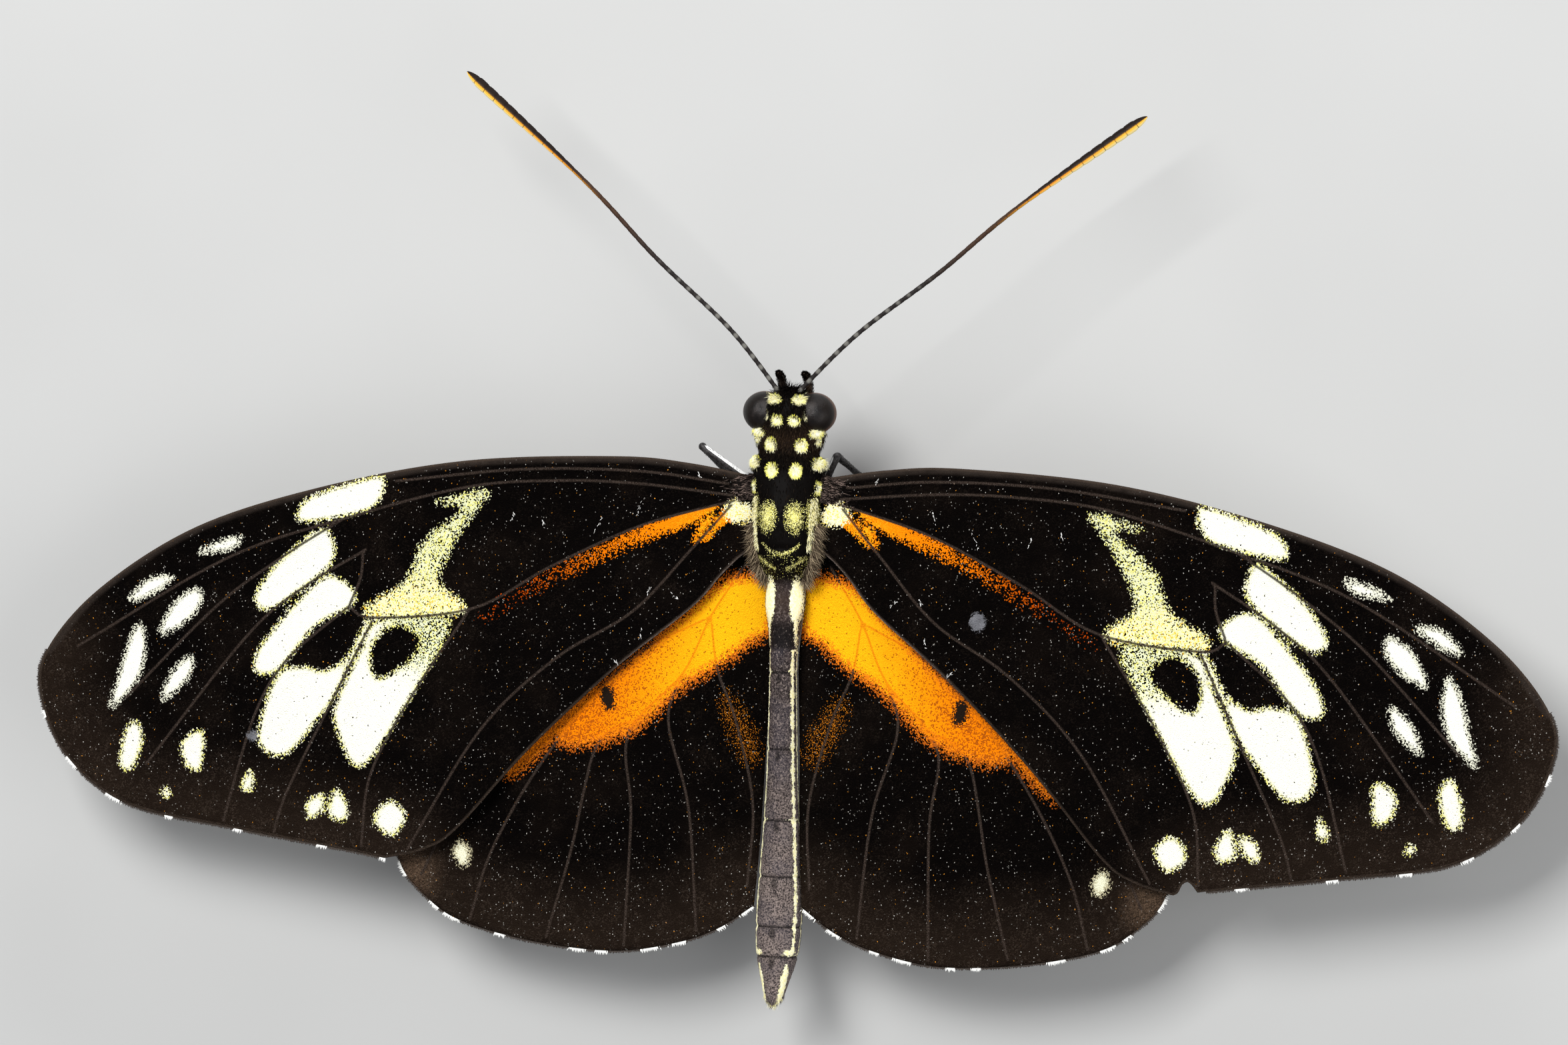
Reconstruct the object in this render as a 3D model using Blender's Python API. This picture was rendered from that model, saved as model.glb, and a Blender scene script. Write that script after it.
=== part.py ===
# A life-size tiger longwing butterfly, wings spread flat, standing on its four walking legs.
# Lengths below are millimetres. +X is the butterfly's right, +Y is forward and Z = 0 is the floor.
# ORIGIN_SHIFT moves the whole, so that the origin lies on the floor under the middle of its box.
import bpy
from math import cos, exp, pi, sin, sqrt
from mathutils import Vector
from mathutils.geometry import delaunay_2d_cdt

MM = 0.001

# Driving sizes
WINGSPAN_HALF = 46.2
WING_THICKNESS = 0.5
VEIN_HEIGHT = 0.12
VEIN_HALF_WIDTH = 0.35
FOREWING_LEVEL = 8.9
HINDWING_LEVEL = 7.85
ORIGIN_SHIFT = (0.0, 1.3, 0.0)
LEG_THICKNESS = 0.56
TARSUS_THICKNESS = 0.5
FEELER_THICKNESS = 0.5
CLUB_THICKNESS = 0.66
GRID_PITCH = 2.1

# Wing outlines of the right side, as the smooth stretches between their corners
FOREWING_LEADING = [(2.55, 2.9), (10.5, 3.6), (19.7, 3.0), (28.4, 1.15), (36.4, -1.6), (42.5, -5.6),
                    (45.8, -9.5), (46.1, -12.4), (44.3, -16.0), (40.4, -18.7), (33.7, -19.85),
                    (26.5, -20.85), (24.0, -21.25)]
FOREWING_HIND = [(24.0, -21.25), (19.6, -19.25), (15.3, -14.25), (10.1, -9.1), (5.6, -5.3), (2.75, -2.0)]
FOREWING_BITE = [(26.0, -20.9), (25.5, -21.0), (24.9, -20.4), (24.3, -21.1)]
HINDWING_COSTAL = [(2.6, -1.7), (6.5, -2.6), (12.0, -6.2), (17.5, -11.0), (21.5, -15.5), (23.4, -19.4),
                   (23.3, -21.7), (21.6, -23.6), (19.4, -24.9), (15.0, -25.9), (10.0, -26.25),
                   (6.2, -25.6), (3.6, -24.6), (1.85, -23.1)]
HINDWING_INNER = [(1.85, -23.1), (1.65, -19.0), (1.38, -13.0), (1.32, -8.5), (1.6, -5.6), (2.3, -3.6)]

# Wing veins of the right side, each from the root or its fork to the margin
FOREWING_VEINS = {
    "radius": [(3.6, 1.5), (9.0, 2.0), (14.0, 2.0), (19.6, 1.4), (27.2, -0.8), (34.5, -3.5), (43.2, -8.9)],
    "radius_fork": [(27.2, -0.8), (31.0, -3.3), (35.0, -6.4), (39.6, -11.0)],
    "media_1": [(27.2, -0.8), (25.9, -2.7), (29.5, -5.0), (33.0, -8.1), (38.2, -14.2)],
    "cell_end": [(25.9, -2.7), (26.0, -4.3), (26.7, -6.1)],
    "media_2": [(26.7, -6.1), (30.4, -9.4), (32.4, -12.9), (33.9, -17.6)],
    "cubitus": [(3.7, 1.1), (8.8, -0.5), (14.3, -3.2), (19.0, -5.9), (25.1, -6.7), (26.7, -6.1)],
    "cubitus_1": [(25.1, -6.7), (27.5, -11.7), (30.2, -17.4), (31.0, -19.6)],
    "cubitus_2": [(19.2, -6.0), (22.4, -11.0), (25.0, -16.1), (25.6, -20.2)],
    "anal": [(3.7, 0.6), (5.8, -1.9), (9.2, -5.7), (13.8, -8.7), (18.3, -13.2), (22.4, -20.2)],
}
HINDWING_VEINS = {
    "trunk": [(3.2, -2.8), (4.6, -5.8), (6.2, -9.3), (9.4, -13.1), (9.1, -18.0), (9.3, -25.0)],
    "fork_outer": [(9.4, -13.1), (11.8, -16.6), (14.1, -24.9)],
    "radius": [(4.6, -5.8), (9.4, -8.6), (14.2, -14.3), (17.5, -20.2), (18.8, -24.0)],
    "cubitus_1": [(6.2, -9.3), (7.0, -12.2), (5.6, -17.4), (4.9, -23.8)],
    "cubitus_2": [(4.6, -5.8), (4.1, -9.0), (2.9, -12.0), (2.2, -17.0)],
}

# The abdomen's cross-sections from front to back: Y, half width, centre height, half height
ABDOMEN_SECTIONS = [(-3.6, 0.85, 8.6, 1.0), (-4.8, 1.22, 8.75, 1.3), (-6.0, 1.16, 8.75, 1.28),
                    (-7.6, 0.92, 8.65, 1.15), (-9.6, 0.9, 8.45, 1.1), (-12.6, 0.96, 7.95, 1.15),
                    (-15.6, 1.04, 7.45, 1.25), (-19.0, 1.24, 6.95, 1.4), (-22.8, 1.46, 6.7, 1.6),
                    (-25.6, 1.4, 6.85, 1.5), (-27.4, 0.98, 7.2, 1.1), (-28.6, 0.6, 7.6, 0.7),
                    (-29.15, 0.32, 7.75, 0.36)]
ABDOMEN_JOINTS = [-7.6, -9.0, -13.6, -17.9, -21.3, -24.3, -26.1]
JOINT_DEPTH = 0.06
JOINT_REACH = 0.22

# Head, thorax and their parts
THORAX = {"front": 3.25, "back": -3.3, "half_width": 2.12, "level": 9.35, "half_height": 2.45}
NECK = {"front": 5.05, "back": 3.55, "half_width": 1.75, "level": 9.5, "half_height": 1.55}
HEAD_CENTRE = (0.0, 6.75, 9.7)
HEAD_RADII = (1.5, 1.4, 1.45)
HEAD_HALF_WIDTH = 0.9
EYE_CENTRE = (1.2, 6.59, 9.75)
EYE_RADII = (1.62, 1.24, 1.26)
PALP_PATH = [(0.78, 7.0, 7.85), (0.8, 8.1, 8.0), (0.8, 8.8, 8.8), (0.78, 9.0, 9.9)]
COIL_CENTRE = (0.0, 7.1, 7.1)
COIL_OUTER = 0.82
COIL_INNER = 0.22
COIL_TURNS = 1.4
COIL_THICKNESS = 0.3

# The feelers and legs differ a little from side to side, as in the living animal
FEELERS = {
    "left": [(-0.85, 8.1, 10.4), (-3.8, 11.5, 10.2), (-8.5, 15.6, 9.9), (-13.0, 20.0, 9.6),
             (-20.65, 26.5, 9.3)],
    "right": [(0.85, 8.1, 10.4), (4.1, 11.5, 10.2), (8.7, 15.2, 9.9), (13.3, 19.3, 9.6),
              (20.75, 24.9, 9.3)],
}
CLUB_START = 0.68
FLOOR_LINE = TARSUS_THICKNESS / 2 * cos(pi / 8)
MID_LEGS = {
    "left": {"hip": (1.2, 1.3, 6.5), "knee": (5.75, 4.4, 7.0), "ankle": (4.9, 2.6, 1.1),
             "toe": (8.6, 0.9)},
    "right": {"hip": (1.2, 1.3, 6.5), "knee": (2.5, 4.1, 6.9), "ankle": (4.3, 2.0, 1.1),
              "toe": (8.2, 0.5)},
}
HIND_LEGS = {
    "left": {"hip": (1.0, -1.6, 6.6), "knee": (4.6, -7.4, 6.1), "ankle": (6.9, -11.6, 1.1),
             "toe": (9.0, -16.0)},
    "right": {"hip": (1.0, -1.6, 6.6), "knee": (4.5, -7.6, 6.1), "ankle": (6.6, -11.9, 1.1),
              "toe": (8.8, -16.4)},
}
FORE_LEG = [(0.6, 3.0, 6.9), (0.85, 4.9, 7.1), (0.95, 5.5, 6.75), (0.9, 5.0, 6.35), (0.75, 2.6, 6.1)]


def clear_scene():
    for item in list(bpy.data.objects):
        bpy.data.objects.remove(item, do_unlink=True)


def material(name, colour, roughness, metallic=0.0):
    made = bpy.data.materials.get(name)
    if made:
        return made
    made = bpy.data.materials.new(name)
    made.use_nodes = True
    shader = made.node_tree.nodes["Principled BSDF"]
    shader.inputs["Base Color"].default_value = (*colour, 1.0)
    shader.inputs["Roughness"].default_value = roughness
    shader.inputs["Metallic"].default_value = metallic
    return made


def add_solid(name, points, faces, finish):
    """One closed solid, its points given in millimetres."""
    mesh = bpy.data.meshes.new(name)
    mesh.from_pydata([(Vector(point) + Vector(ORIGIN_SHIFT)) * MM for point in points], [], faces)
    mesh.validate()
    mesh.shade_smooth()
    solid = bpy.data.objects.new(name, mesh)
    solid.data.materials.append(finish)
    bpy.context.collection.objects.link(solid)
    return solid


def smooth_curve(points, steps):
    """A Catmull-Rom curve through the points, with the given number of steps between each two."""
    controls = [Vector(point) for point in points]
    controls = [2 * controls[0] - controls[1], *controls, 2 * controls[-1] - controls[-2]]
    curve = []
    for i in range(1, len(controls) - 2):
        before, start, end, after = controls[i - 1:i + 3]
        for step in range(steps):
            t = step / steps
            curve.append(0.5 * (2 * start + (end - before) * t
                                + (2 * before - 5 * start + 4 * end - after) * t ** 2
                                + (3 * start - before - 3 * end + after) * t ** 3))
    curve.append(controls[-2])
    return curve


def ring_faces(ring_count, sides):
    """Quads between neighbouring rings, and a flat cap at each end."""
    faces = [list(reversed(range(sides)))]
    for ring in range(ring_count - 1):
        low = ring * sides
        for i in range(sides):
            j = (i + 1) % sides
            faces.append([low + i, low + j, low + sides + j, low + sides + i])
    faces.append([(ring_count - 1) * sides + i for i in range(sides)])
    return faces


def tube(name, path, radii, sides, finish):
    """A round tube along a path, each ring square to it and with a flat side facing down."""
    points = []
    for i, centre in enumerate(path):
        ahead = path[min(i + 1, len(path) - 1)]
        behind = path[max(i - 1, 0)]
        along = (ahead - behind).normalized()
        across = along.cross(Vector((0, 0, 1))).normalized()
        upward = across.cross(along)
        for side in range(sides):
            angle = 2 * pi * (side + 0.5) / sides
            points.append(centre + radii[i] * (sin(angle) * across + cos(angle) * upward))
    return add_solid(name, points, ring_faces(len(path), sides), finish)


def body_along_y(name, sections, sides, finish):
    """A rounded body whose oval cross-sections follow one another along Y, back to front."""
    points = []
    for y, half_width, level, half_height in sorted(sections):
        for side in range(sides):
            angle = 2 * pi * side / sides
            points.append((half_width * sin(angle), y, level + half_height * cos(angle)))
    return add_solid(name, points, ring_faces(len(sections), sides), finish)


def oval_body(name, sizes, fullness, rings, sides, finish):
    """A barrel-shaped body between two ends, blunter where fullness is higher."""
    middle = (sizes["front"] + sizes["back"]) / 2
    half_length = (sizes["front"] - sizes["back"]) / 2
    sections = []
    for ring in range(rings + 1):
        along = -cos(pi * ring / rings) * 0.985
        swell = (1 - abs(along) ** fullness) ** (1 / fullness)
        sections.append((middle + along * half_length, sizes["half_width"] * swell,
                         sizes["level"], sizes["half_height"] * swell))
    return body_along_y(name, sections, sides, finish)


def nearest(point, line):
    """Distance in plan from a point to a line of points."""
    best = 1e9
    for start, end in zip(line, line[1:]):
        run = end - start
        t = max(0.0, min(1.0, (point - start).dot(run) / run.length_squared))
        best = min(best, (point - start - t * run).length)
    return best


def inside(point, outline):
    """Whether a point in plan lies inside a closed outline."""
    within = False
    for start, end in zip(outline, outline[1:] + outline[:1]):
        if (start.y > point.y) != (end.y > point.y):
            if point.x < start.x + (point.y - start.y) * (end.x - start.x) / (end.y - start.y):
                within = not within
    return within


def offset_line(line, distance):
    """A line beside another one, in plan."""
    moved = []
    for i, point in enumerate(line):
        along = (line[min(i + 1, len(line) - 1)] - line[max(i - 1, 0)]).normalized()
        moved.append(point + Vector((-along.y, along.x)) * distance)
    return moved


def forewing_height(x, y):
    """Middle surface of the forewing: a gentle arch, a rise to the leading edge and a drooping tip."""
    span = x / WINGSPAN_HALF
    return FOREWING_LEVEL + 0.45 * sin(pi * span) + 0.04 * (y + 8.0) - 0.5 * span ** 3


def hindwing_height(x, y):
    """Middle surface of the hindwing, lower than the forewing all along their overlap."""
    return HINDWING_LEVEL + 0.3 * sin(pi * x / 24.0) + 0.035 * (y + 8.0)


def wing(name, mirror, outline, veins, height, finish):
    """A thin curved vane, its veins raised on both faces, triangulated alike above and below."""
    lines = [smooth_curve(vein, 3) for vein in veins.values()]
    plan = list(outline)
    edges = [(i, (i + 1) % len(outline)) for i in range(len(outline))]
    for line in lines:
        for strand in (line, offset_line(line, VEIN_HALF_WIDTH), offset_line(line, -VEIN_HALF_WIDTH)):
            kept = [p for p in strand if inside(p, outline) and nearest(p, outline + outline[:1]) > 0.3]
            edges += [(len(plan) + i, len(plan) + i + 1) for i in range(len(kept) - 1)]
            plan += kept
    row = 0
    y = min(p.y for p in outline)
    while y < max(p.y for p in outline):
        x = (row % 2) * GRID_PITCH / 2
        while x < max(p.x for p in outline):
            spot = Vector((x, y))
            clear = min(nearest(spot, line) for line in lines) > 0.9
            if clear and inside(spot, outline) and nearest(spot, outline + outline[:1]) > 0.8:
                plan.append(spot)
            x += GRID_PITCH
        y += GRID_PITCH * 0.87
        row += 1
    spots, _, triangles, _, _, _ = delaunay_2d_cdt(plan, edges, [], 1, 0.02)
    upper = []
    lower = []
    for spot in spots:
        ridge = VEIN_HEIGHT * max(0.0, 1 - min(nearest(spot, line) for line in lines) / VEIN_HALF_WIDTH)
        middle = height(spot.x, spot.y)
        upper.append((mirror * spot.x, spot.y, middle + WING_THICKNESS / 2 + ridge))
        lower.append((mirror * spot.x, spot.y, middle - WING_THICKNESS / 2 - ridge))
    count = len(spots)
    sides = {}
    for triangle in triangles:
        for a, b in zip(triangle, triangle[1:] + triangle[:1]):
            sides[(a, b)] = sides.get((b, a), 0) + 1
    faces = [list(triangle) for triangle in triangles]
    faces += [[count + i for i in reversed(triangle)] for triangle in triangles]
    for a, b in sides:
        if (b, a) not in sides:
            faces += [[b, a, count + a], [b, count + a, count + b]]
    if mirror < 0:
        faces = [list(reversed(face)) for face in faces]
    return add_solid(name, upper + lower, faces, finish)


def add_wings():
    membrane = material("wing_scales", (0.02, 0.014, 0.01), 0.6)
    hind_membrane = material("hindwing_scales", (0.5, 0.2, 0.02), 0.6)
    for side, mirror in (("left", -1), ("right", 1)):
        leading = smooth_curve(FOREWING_LEADING, 4)
        hind = smooth_curve(FOREWING_HIND, 3)
        if side == "right":
            leading = leading[:-3] + [Vector(point) for point in FOREWING_BITE] + leading[-1:]
        outline = [point.to_2d() for point in leading + hind[1:]]
        wing("forewing_" + side, mirror, outline, FOREWING_VEINS, forewing_height, membrane)
        costal = smooth_curve(HINDWING_COSTAL, 3)
        inner = smooth_curve(HINDWING_INNER, 2)
        outline = [point.to_2d() for point in costal + inner[1:]]
        wing("hindwing_" + side, mirror, outline, HINDWING_VEINS, hindwing_height, hind_membrane)


def add_abdomen():
    """Rings of a smooth spindle, drawn in at each joint between the segments."""
    along = smooth_curve([Vector(section[:3]) for section in ABDOMEN_SECTIONS], 4)
    heights = smooth_curve([Vector((section[0], section[3], 0)) for section in ABDOMEN_SECTIONS], 4)
    sections = []
    for place, tall in zip(along, heights):
        y, half_width, level = place
        groove = sum(JOINT_DEPTH * exp(-((y - joint) / JOINT_REACH) ** 2) for joint in ABDOMEN_JOINTS)
        sections.append((y, half_width * (1 - groove), level, tall.y * (1 - groove)))
    body_along_y("abdomen", sections, 20, material("abdomen_velvet", (0.04, 0.03, 0.03), 0.6))


def add_head():
    """A capsule cut flat at both sides, where the eyes sit."""
    coat = material("head_coat", (0.02, 0.016, 0.014), 0.7)
    rings = 8
    sides = 20
    points = []
    for ring in range(rings + 1):
        x = HEAD_HALF_WIDTH * (2 * ring / rings - 1)
        swell = sqrt(1 - (x / HEAD_RADII[0]) ** 2)
        for side in range(sides):
            angle = 2 * pi * side / sides
            points.append((x, HEAD_CENTRE[1] + HEAD_RADII[1] * swell * cos(angle),
                           HEAD_CENTRE[2] + HEAD_RADII[2] * swell * sin(angle)))
    add_solid("head", points, ring_faces(rings + 1, sides), coat)
    eye_finish = material("eye", (0.03, 0.02, 0.02), 0.15)
    for side, mirror in (("left", -1), ("right", 1)):
        add_eye("eye_" + side, mirror, eye_finish)


def add_eye(name, mirror, finish):
    """A dome with its flat face towards the head."""
    rings = 7
    sides = 20
    points = []
    for ring in range(rings):
        climb = (ring / rings) * pi / 2
        for side in range(sides):
            angle = 2 * pi * side / sides
            points.append((mirror * (EYE_CENTRE[0] + EYE_RADII[0] * sin(climb)),
                           EYE_CENTRE[1] + EYE_RADII[1] * cos(climb) * cos(angle),
                           EYE_CENTRE[2] + EYE_RADII[2] * cos(climb) * sin(angle)))
    faces = ring_faces(rings, sides)
    if mirror < 0:
        faces = [list(reversed(face)) for face in faces]
    add_solid(name, points, faces, finish)


def add_mouth():
    """The two palps before the face, and the feeding tube coiled between them."""
    coat = material("palp_coat", (0.02, 0.016, 0.014), 0.7)
    for side, mirror in (("left", -1), ("right", 1)):
        path = smooth_curve([(mirror * x, y, z) for x, y, z in PALP_PATH], 4)
        radii = [0.25 + 0.06 * sin(pi * i / (len(path) - 1)) for i in range(len(path))]
        radii[-1] = 0.12
        tube("palp_" + side, path, radii, 8, coat)
    steps = 26
    path = []
    for step in range(steps + 1):
        t = step / steps
        radius = COIL_OUTER + (COIL_INNER - COIL_OUTER) * t
        angle = pi / 2 - 2 * pi * COIL_TURNS * t
        path.append((radius * cos(angle), radius * sin(angle)))
    points = []
    sides = 6
    for i, (y, z) in enumerate(path):
        outward = Vector((0, y, z)).normalized()
        centre = Vector(COIL_CENTRE) + Vector((0, y, z))
        thick = COIL_THICKNESS / 2 * (1 - 0.45 * i / steps)
        for side in range(sides):
            angle = 2 * pi * side / sides
            points.append(centre + thick * (cos(angle) * outward + sin(angle) * Vector((1, 0, 0))))
    horn = material("horn", (0.05, 0.03, 0.02), 0.4)
    add_solid("proboscis", points, ring_faces(steps + 1, sides), horn)


def add_feelers():
    finish = material("feeler", (0.03, 0.02, 0.015), 0.45)
    for side, controls in FEELERS.items():
        path = smooth_curve(controls, 7)
        radii = []
        for i in range(len(path)):
            t = i / (len(path) - 1)
            club = max(0.0, (t - CLUB_START) / (1 - CLUB_START))
            swell = sin(pi * min(1.0, club * 1.25) / 2)
            radii.append((FEELER_THICKNESS + (CLUB_THICKNESS - FEELER_THICKNESS) * swell) / 2)
        radii[-2] *= 0.8
        radii[-1] *= 0.35
        tube("antenna_" + side, path, radii, 8, finish)


def leg_path(leg, mirror):
    """Hip, trochanter, knee and ankle, then a foot laid flat along the floor."""
    hip, knee, ankle = (Vector(leg[part]) for part in ("hip", "knee", "ankle"))
    toe = Vector((*leg["toe"], FLOOR_LINE))
    forward = (toe - ankle)
    forward.z = 0
    heel = ankle + forward * 0.16
    heel.z = FLOOR_LINE
    elbow = hip.lerp(knee, 0.14) - Vector((0, 0, 0.25))
    lift = Vector((0, 0, 0.16))
    corners = [hip, elbow, hip.lerp(knee, 0.55) + lift, knee.lerp(hip, 0.08) + lift, knee,
               knee.lerp(ankle, 0.1), knee.lerp(ankle, 0.55), ankle, heel.lerp(ankle, 0.25), heel,
               heel.lerp(toe, 0.25), heel.lerp(toe, 0.5), heel.lerp(toe, 0.75), toe]
    return [Vector((mirror * point.x, point.y, point.z)) for point in corners]


def add_legs():
    finish = material("leg", (0.05, 0.045, 0.04), 0.5)
    thick = LEG_THICKNESS / 2
    thin = TARSUS_THICKNESS / 2
    radii = [thick * 1.2, thick * 1.1, thick, thick * 0.9, thick * 0.9, thick * 0.85, thick * 0.9,
             thin, thin, thin, thin, thin, thin, thin]
    for name, legs in (("mid_leg_", MID_LEGS), ("hind_leg_", HIND_LEGS)):
        for side, mirror in (("left", -1), ("right", 1)):
            tube(name + side, leg_path(legs[side], mirror), radii, 8, finish)
    for side, mirror in (("left", -1), ("right", 1)):
        path = smooth_curve([(mirror * x, y, z) for x, y, z in FORE_LEG], 3)
        tube("fore_leg_" + side, path, [0.25] * (len(path) - 1) + [0.12], 8, finish)


def build():
    clear_scene()
    coat = material("thorax_coat", (0.03, 0.02, 0.015), 0.7)
    oval_body("thorax", THORAX, 2.5, 14, 24, coat)
    oval_body("neck", NECK, 3.0, 6, 20, coat)
    add_head()
    add_mouth()
    add_feelers()
    add_abdomen()
    add_wings()
    add_legs()


build()
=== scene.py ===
# A tiger longwing butterfly with spread wings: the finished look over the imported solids.
# Lengths are millimetres until a mesh is made. +X is the butterfly's right, +Y forward, Z = 0 the floor.
from math import cos, pi, radians, sin, tau

import bpy
import numpy as np
from mathutils import Matrix, Vector
from mathutils.geometry import delaunay_2d_cdt


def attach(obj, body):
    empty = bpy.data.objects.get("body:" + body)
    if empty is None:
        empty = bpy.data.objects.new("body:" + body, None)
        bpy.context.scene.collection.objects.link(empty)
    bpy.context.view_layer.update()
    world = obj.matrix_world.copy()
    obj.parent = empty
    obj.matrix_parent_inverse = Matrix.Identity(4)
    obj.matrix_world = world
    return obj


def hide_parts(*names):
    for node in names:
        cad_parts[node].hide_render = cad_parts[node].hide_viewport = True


MM = 0.001
ORIGIN_SHIFT = np.array([0.0, 1.3, 0.0])
UP = np.array([0.0, 0.0, 1.0])
SIDES = (("left", -1), ("right", 1))
rng = np.random.default_rng(7)

# Photograph and camera
PHOTO_SIZE = (2352, 1568)
FOCAL_PIXELS = 10000.0
SENSOR_WIDTH = 36.0
CAMERA_DISTANCE = 400.0
CAMERA_TILT = radians(10.0)
CAMERA_ROLL = radians(2.2)
CAMERA_TARGET = (-0.32, 0.0, 8.5)

# Lamps: place, size and power, all turned to one point
LAMPS = {"key": ((-80, 120, 310), 140, 1.2), "fill": ((200, -60, 220), 220, 0.36),
         "rim": ((60, 240, 90), 120, 0.25)}
LAMP_TARGET = (0.0, 0.0, 8.0)
SKY_COLOUR = (0.9, 0.93, 1.0, 1.0)
SKY_STRENGTH = 0.3

# Wings
WINGSPAN_HALF = 46.2
FOREWING_LEVEL = 8.9
HINDWING_LEVEL = 7.85
WING_THICKNESS = 0.14
WING_PITCH = 0.27
SCALES_PER_MM = 14.0
SPECKS_PER_MM = 20.0
VEIN_WIDTH = 0.15
VEIN_HEIGHT = 0.07
FOREWING_LEADING = [(1.5, 2.6), (6.0, 3.35), (10.5, 3.6), (19.7, 3.0), (28.4, 1.15), (36.4, -1.6),
                    (42.5, -5.6), (45.8, -9.5), (46.1, -12.4), (44.3, -16.0), (40.4, -18.7),
                    (33.7, -19.85), (26.5, -20.85), (24.0, -21.25)]
FOREWING_HIND = [(24.0, -21.25), (21.6, -20.6), (19.6, -19.25), (15.3, -14.25), (10.1, -9.1),
                 (5.6, -5.3), (3.9, -3.3), (2.6, -2.0), (1.4, -1.3)]
FOREWING_BITE = [(26.0, -20.9), (25.45, -21.0), (25.1, -20.55), (24.8, -20.35), (24.5, -20.6), (24.3, -21.1)]
HINDWING_COSTAL = [(1.4, -0.9), (6.5, -1.9), (12.0, -6.2), (17.5, -11.0), (21.5, -15.5), (23.4, -19.4),
                   (23.3, -21.7), (21.6, -23.6), (19.4, -24.9), (15.0, -25.9), (10.0, -26.25),
                   (6.2, -25.6), (3.6, -24.6), (1.45, -23.1)]
HINDWING_INNER = [(1.45, -23.1), (1.2, -19.0), (1.0, -13.0), (0.8, -8.5), (0.98, -5.6), (1.1, -3.4)]
FOREWING_VEINS = {
    "subcosta": [(3.6, 2.2), (9.0, 2.75), (16.2, 2.6), (24.0, 1.6)],
    "radius": [(3.2, 1.5), (9.0, 2.0), (14.0, 2.0), (19.6, 1.4), (27.2, -0.8), (34.5, -3.5), (43.8, -9.2)],
    "radius_fork": [(27.2, -0.8), (31.0, -3.3), (35.0, -6.4), (40.6, -12.2)],
    "media_1": [(25.7, -2.6), (29.5, -5.0), (33.0, -8.1), (39.2, -16.2)],
    "cell_end": [(25.9, -2.7), (26.0, -4.3), (26.7, -6.1)],
    "media_2": [(26.7, -6.1), (30.4, -9.4), (32.4, -12.9), (34.2, -19.4)],
    "cubitus": [(3.2, 1.2), (8.8, -0.5), (14.3, -3.2), (19.0, -5.9), (25.1, -6.7), (26.7, -6.1)],
    "cubitus_1": [(25.1, -6.7), (27.5, -11.7), (30.2, -17.4), (31.0, -20.0)],
    "cubitus_2": [(19.2, -6.0), (22.4, -11.0), (25.0, -16.1), (25.5, -20.6)],
    "anal": [(3.4, 0.9), (5.8, -1.9), (9.2, -5.7), (13.8, -8.7), (18.3, -13.2), (22.6, -20.6)],
}
HINDWING_VEINS = {
    "trunk": [(2.6, -2.6), (4.6, -5.8), (6.2, -9.3), (9.4, -13.1), (9.1, -18.0), (9.3, -25.9)],
    "fork_outer": [(8.6, -12.1), (10.5, -12.9), (11.5, -14.3), (12.1, -17.0), (12.7, -20.2), (14.1, -25.6)],
    "radius": [(4.6, -5.8), (9.4, -8.6), (14.2, -14.3), (17.5, -20.2), (18.9, -24.8)],
    "front": [(4.6, -4.0), (12.0, -9.0), (18.6, -15.5), (22.0, -22.2)],
    "cubitus_1": [(6.2, -9.3), (7.0, -12.2), (5.6, -17.4), (4.9, -24.8)],
    "cubitus_2": [(4.6, -5.8), (4.1, -9.0), (2.9, -12.0), (1.7, -17.0), (1.9, -22.0)],
}

# Wing markings of the right side, as closed outlines of few points
CREAM_SHAPES = {
    "costal_bar": [(30.0, -1.0), (29.5, 0.3), (27.0, 1.3), (24.8, 1.8), (25.2, 0.1), (27.4, -0.7)],
    "upper_spot": [(28.8, -1.6), (28.0, -1.7), (27.8, -3.4), (29.9, -5.3), (31.8, -6.5), (32.6, -5.7),
                   (31.2, -3.6)],
    "middle_spot": [(28.1, -4.3), (26.5, -5.0), (26.5, -6.0), (28.8, -7.4), (31.0, -10.1), (32.5, -10.2),
                    (32.1, -8.6), (29.9, -5.9)],
    "lower_spot": [(30.8, -10.2), (29.2, -9.8), (26.8, -9.2), (27.3, -11.3), (28.6, -13.2), (30.5, -15.3),
                   (32.1, -14.6), (31.7, -12.0)],
    "vein_strip": [(25.35, -7.2), (25.6, -7.0), (27.0, -9.6), (27.6, -11.0), (26.9, -10.2)],
    "big_spot": [(24.9, -6.9), (21.8, -6.5), (20.4, -6.7), (21.0, -8.5), (22.9, -11.8), (25.0, -15.2),
                 (26.2, -15.6), (27.3, -13.4), (27.3, -11.9), (25.9, -8.8)],
    "tornus_spot": [(23.7, -17.8), (22.8, -18.6), (23.5, -19.8), (24.6, -19.3), (24.5, -18.3)],
    "near_tornus": [(27.2, -17.2), (26.4, -18.3), (26.7, -19.1), (27.6, -18.7)],
    "beside_fold": [(28.9, -18.0), (27.95, -17.6), (28.1, -18.6), (28.9, -19.0)],
    "outer_g": [(36.2, -14.1), (35.6, -14.3), (35.8, -16.4), (36.7, -16.1), (37.0, -14.9)],
    "outer_f": [(40.1, -13.6), (39.5, -14.6), (40.1, -16.5), (40.9, -16.3), (40.7, -14.6)],
    "outer_i": [(32.5, -16.3), (32.4, -17.4), (33.0, -17.5), (33.0, -16.9)],
    "outer_h": [(37.9, -17.6), (37.6, -18.0), (37.9, -18.2), (38.2, -17.9)],
    "base_patch": [(3.8, 0.7), (3.3, 1.25), (2.7, 1.15), (2.2, 0.8), (2.1, 0.1), (3.0, -0.1), (3.6, 0.1)],
}
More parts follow.
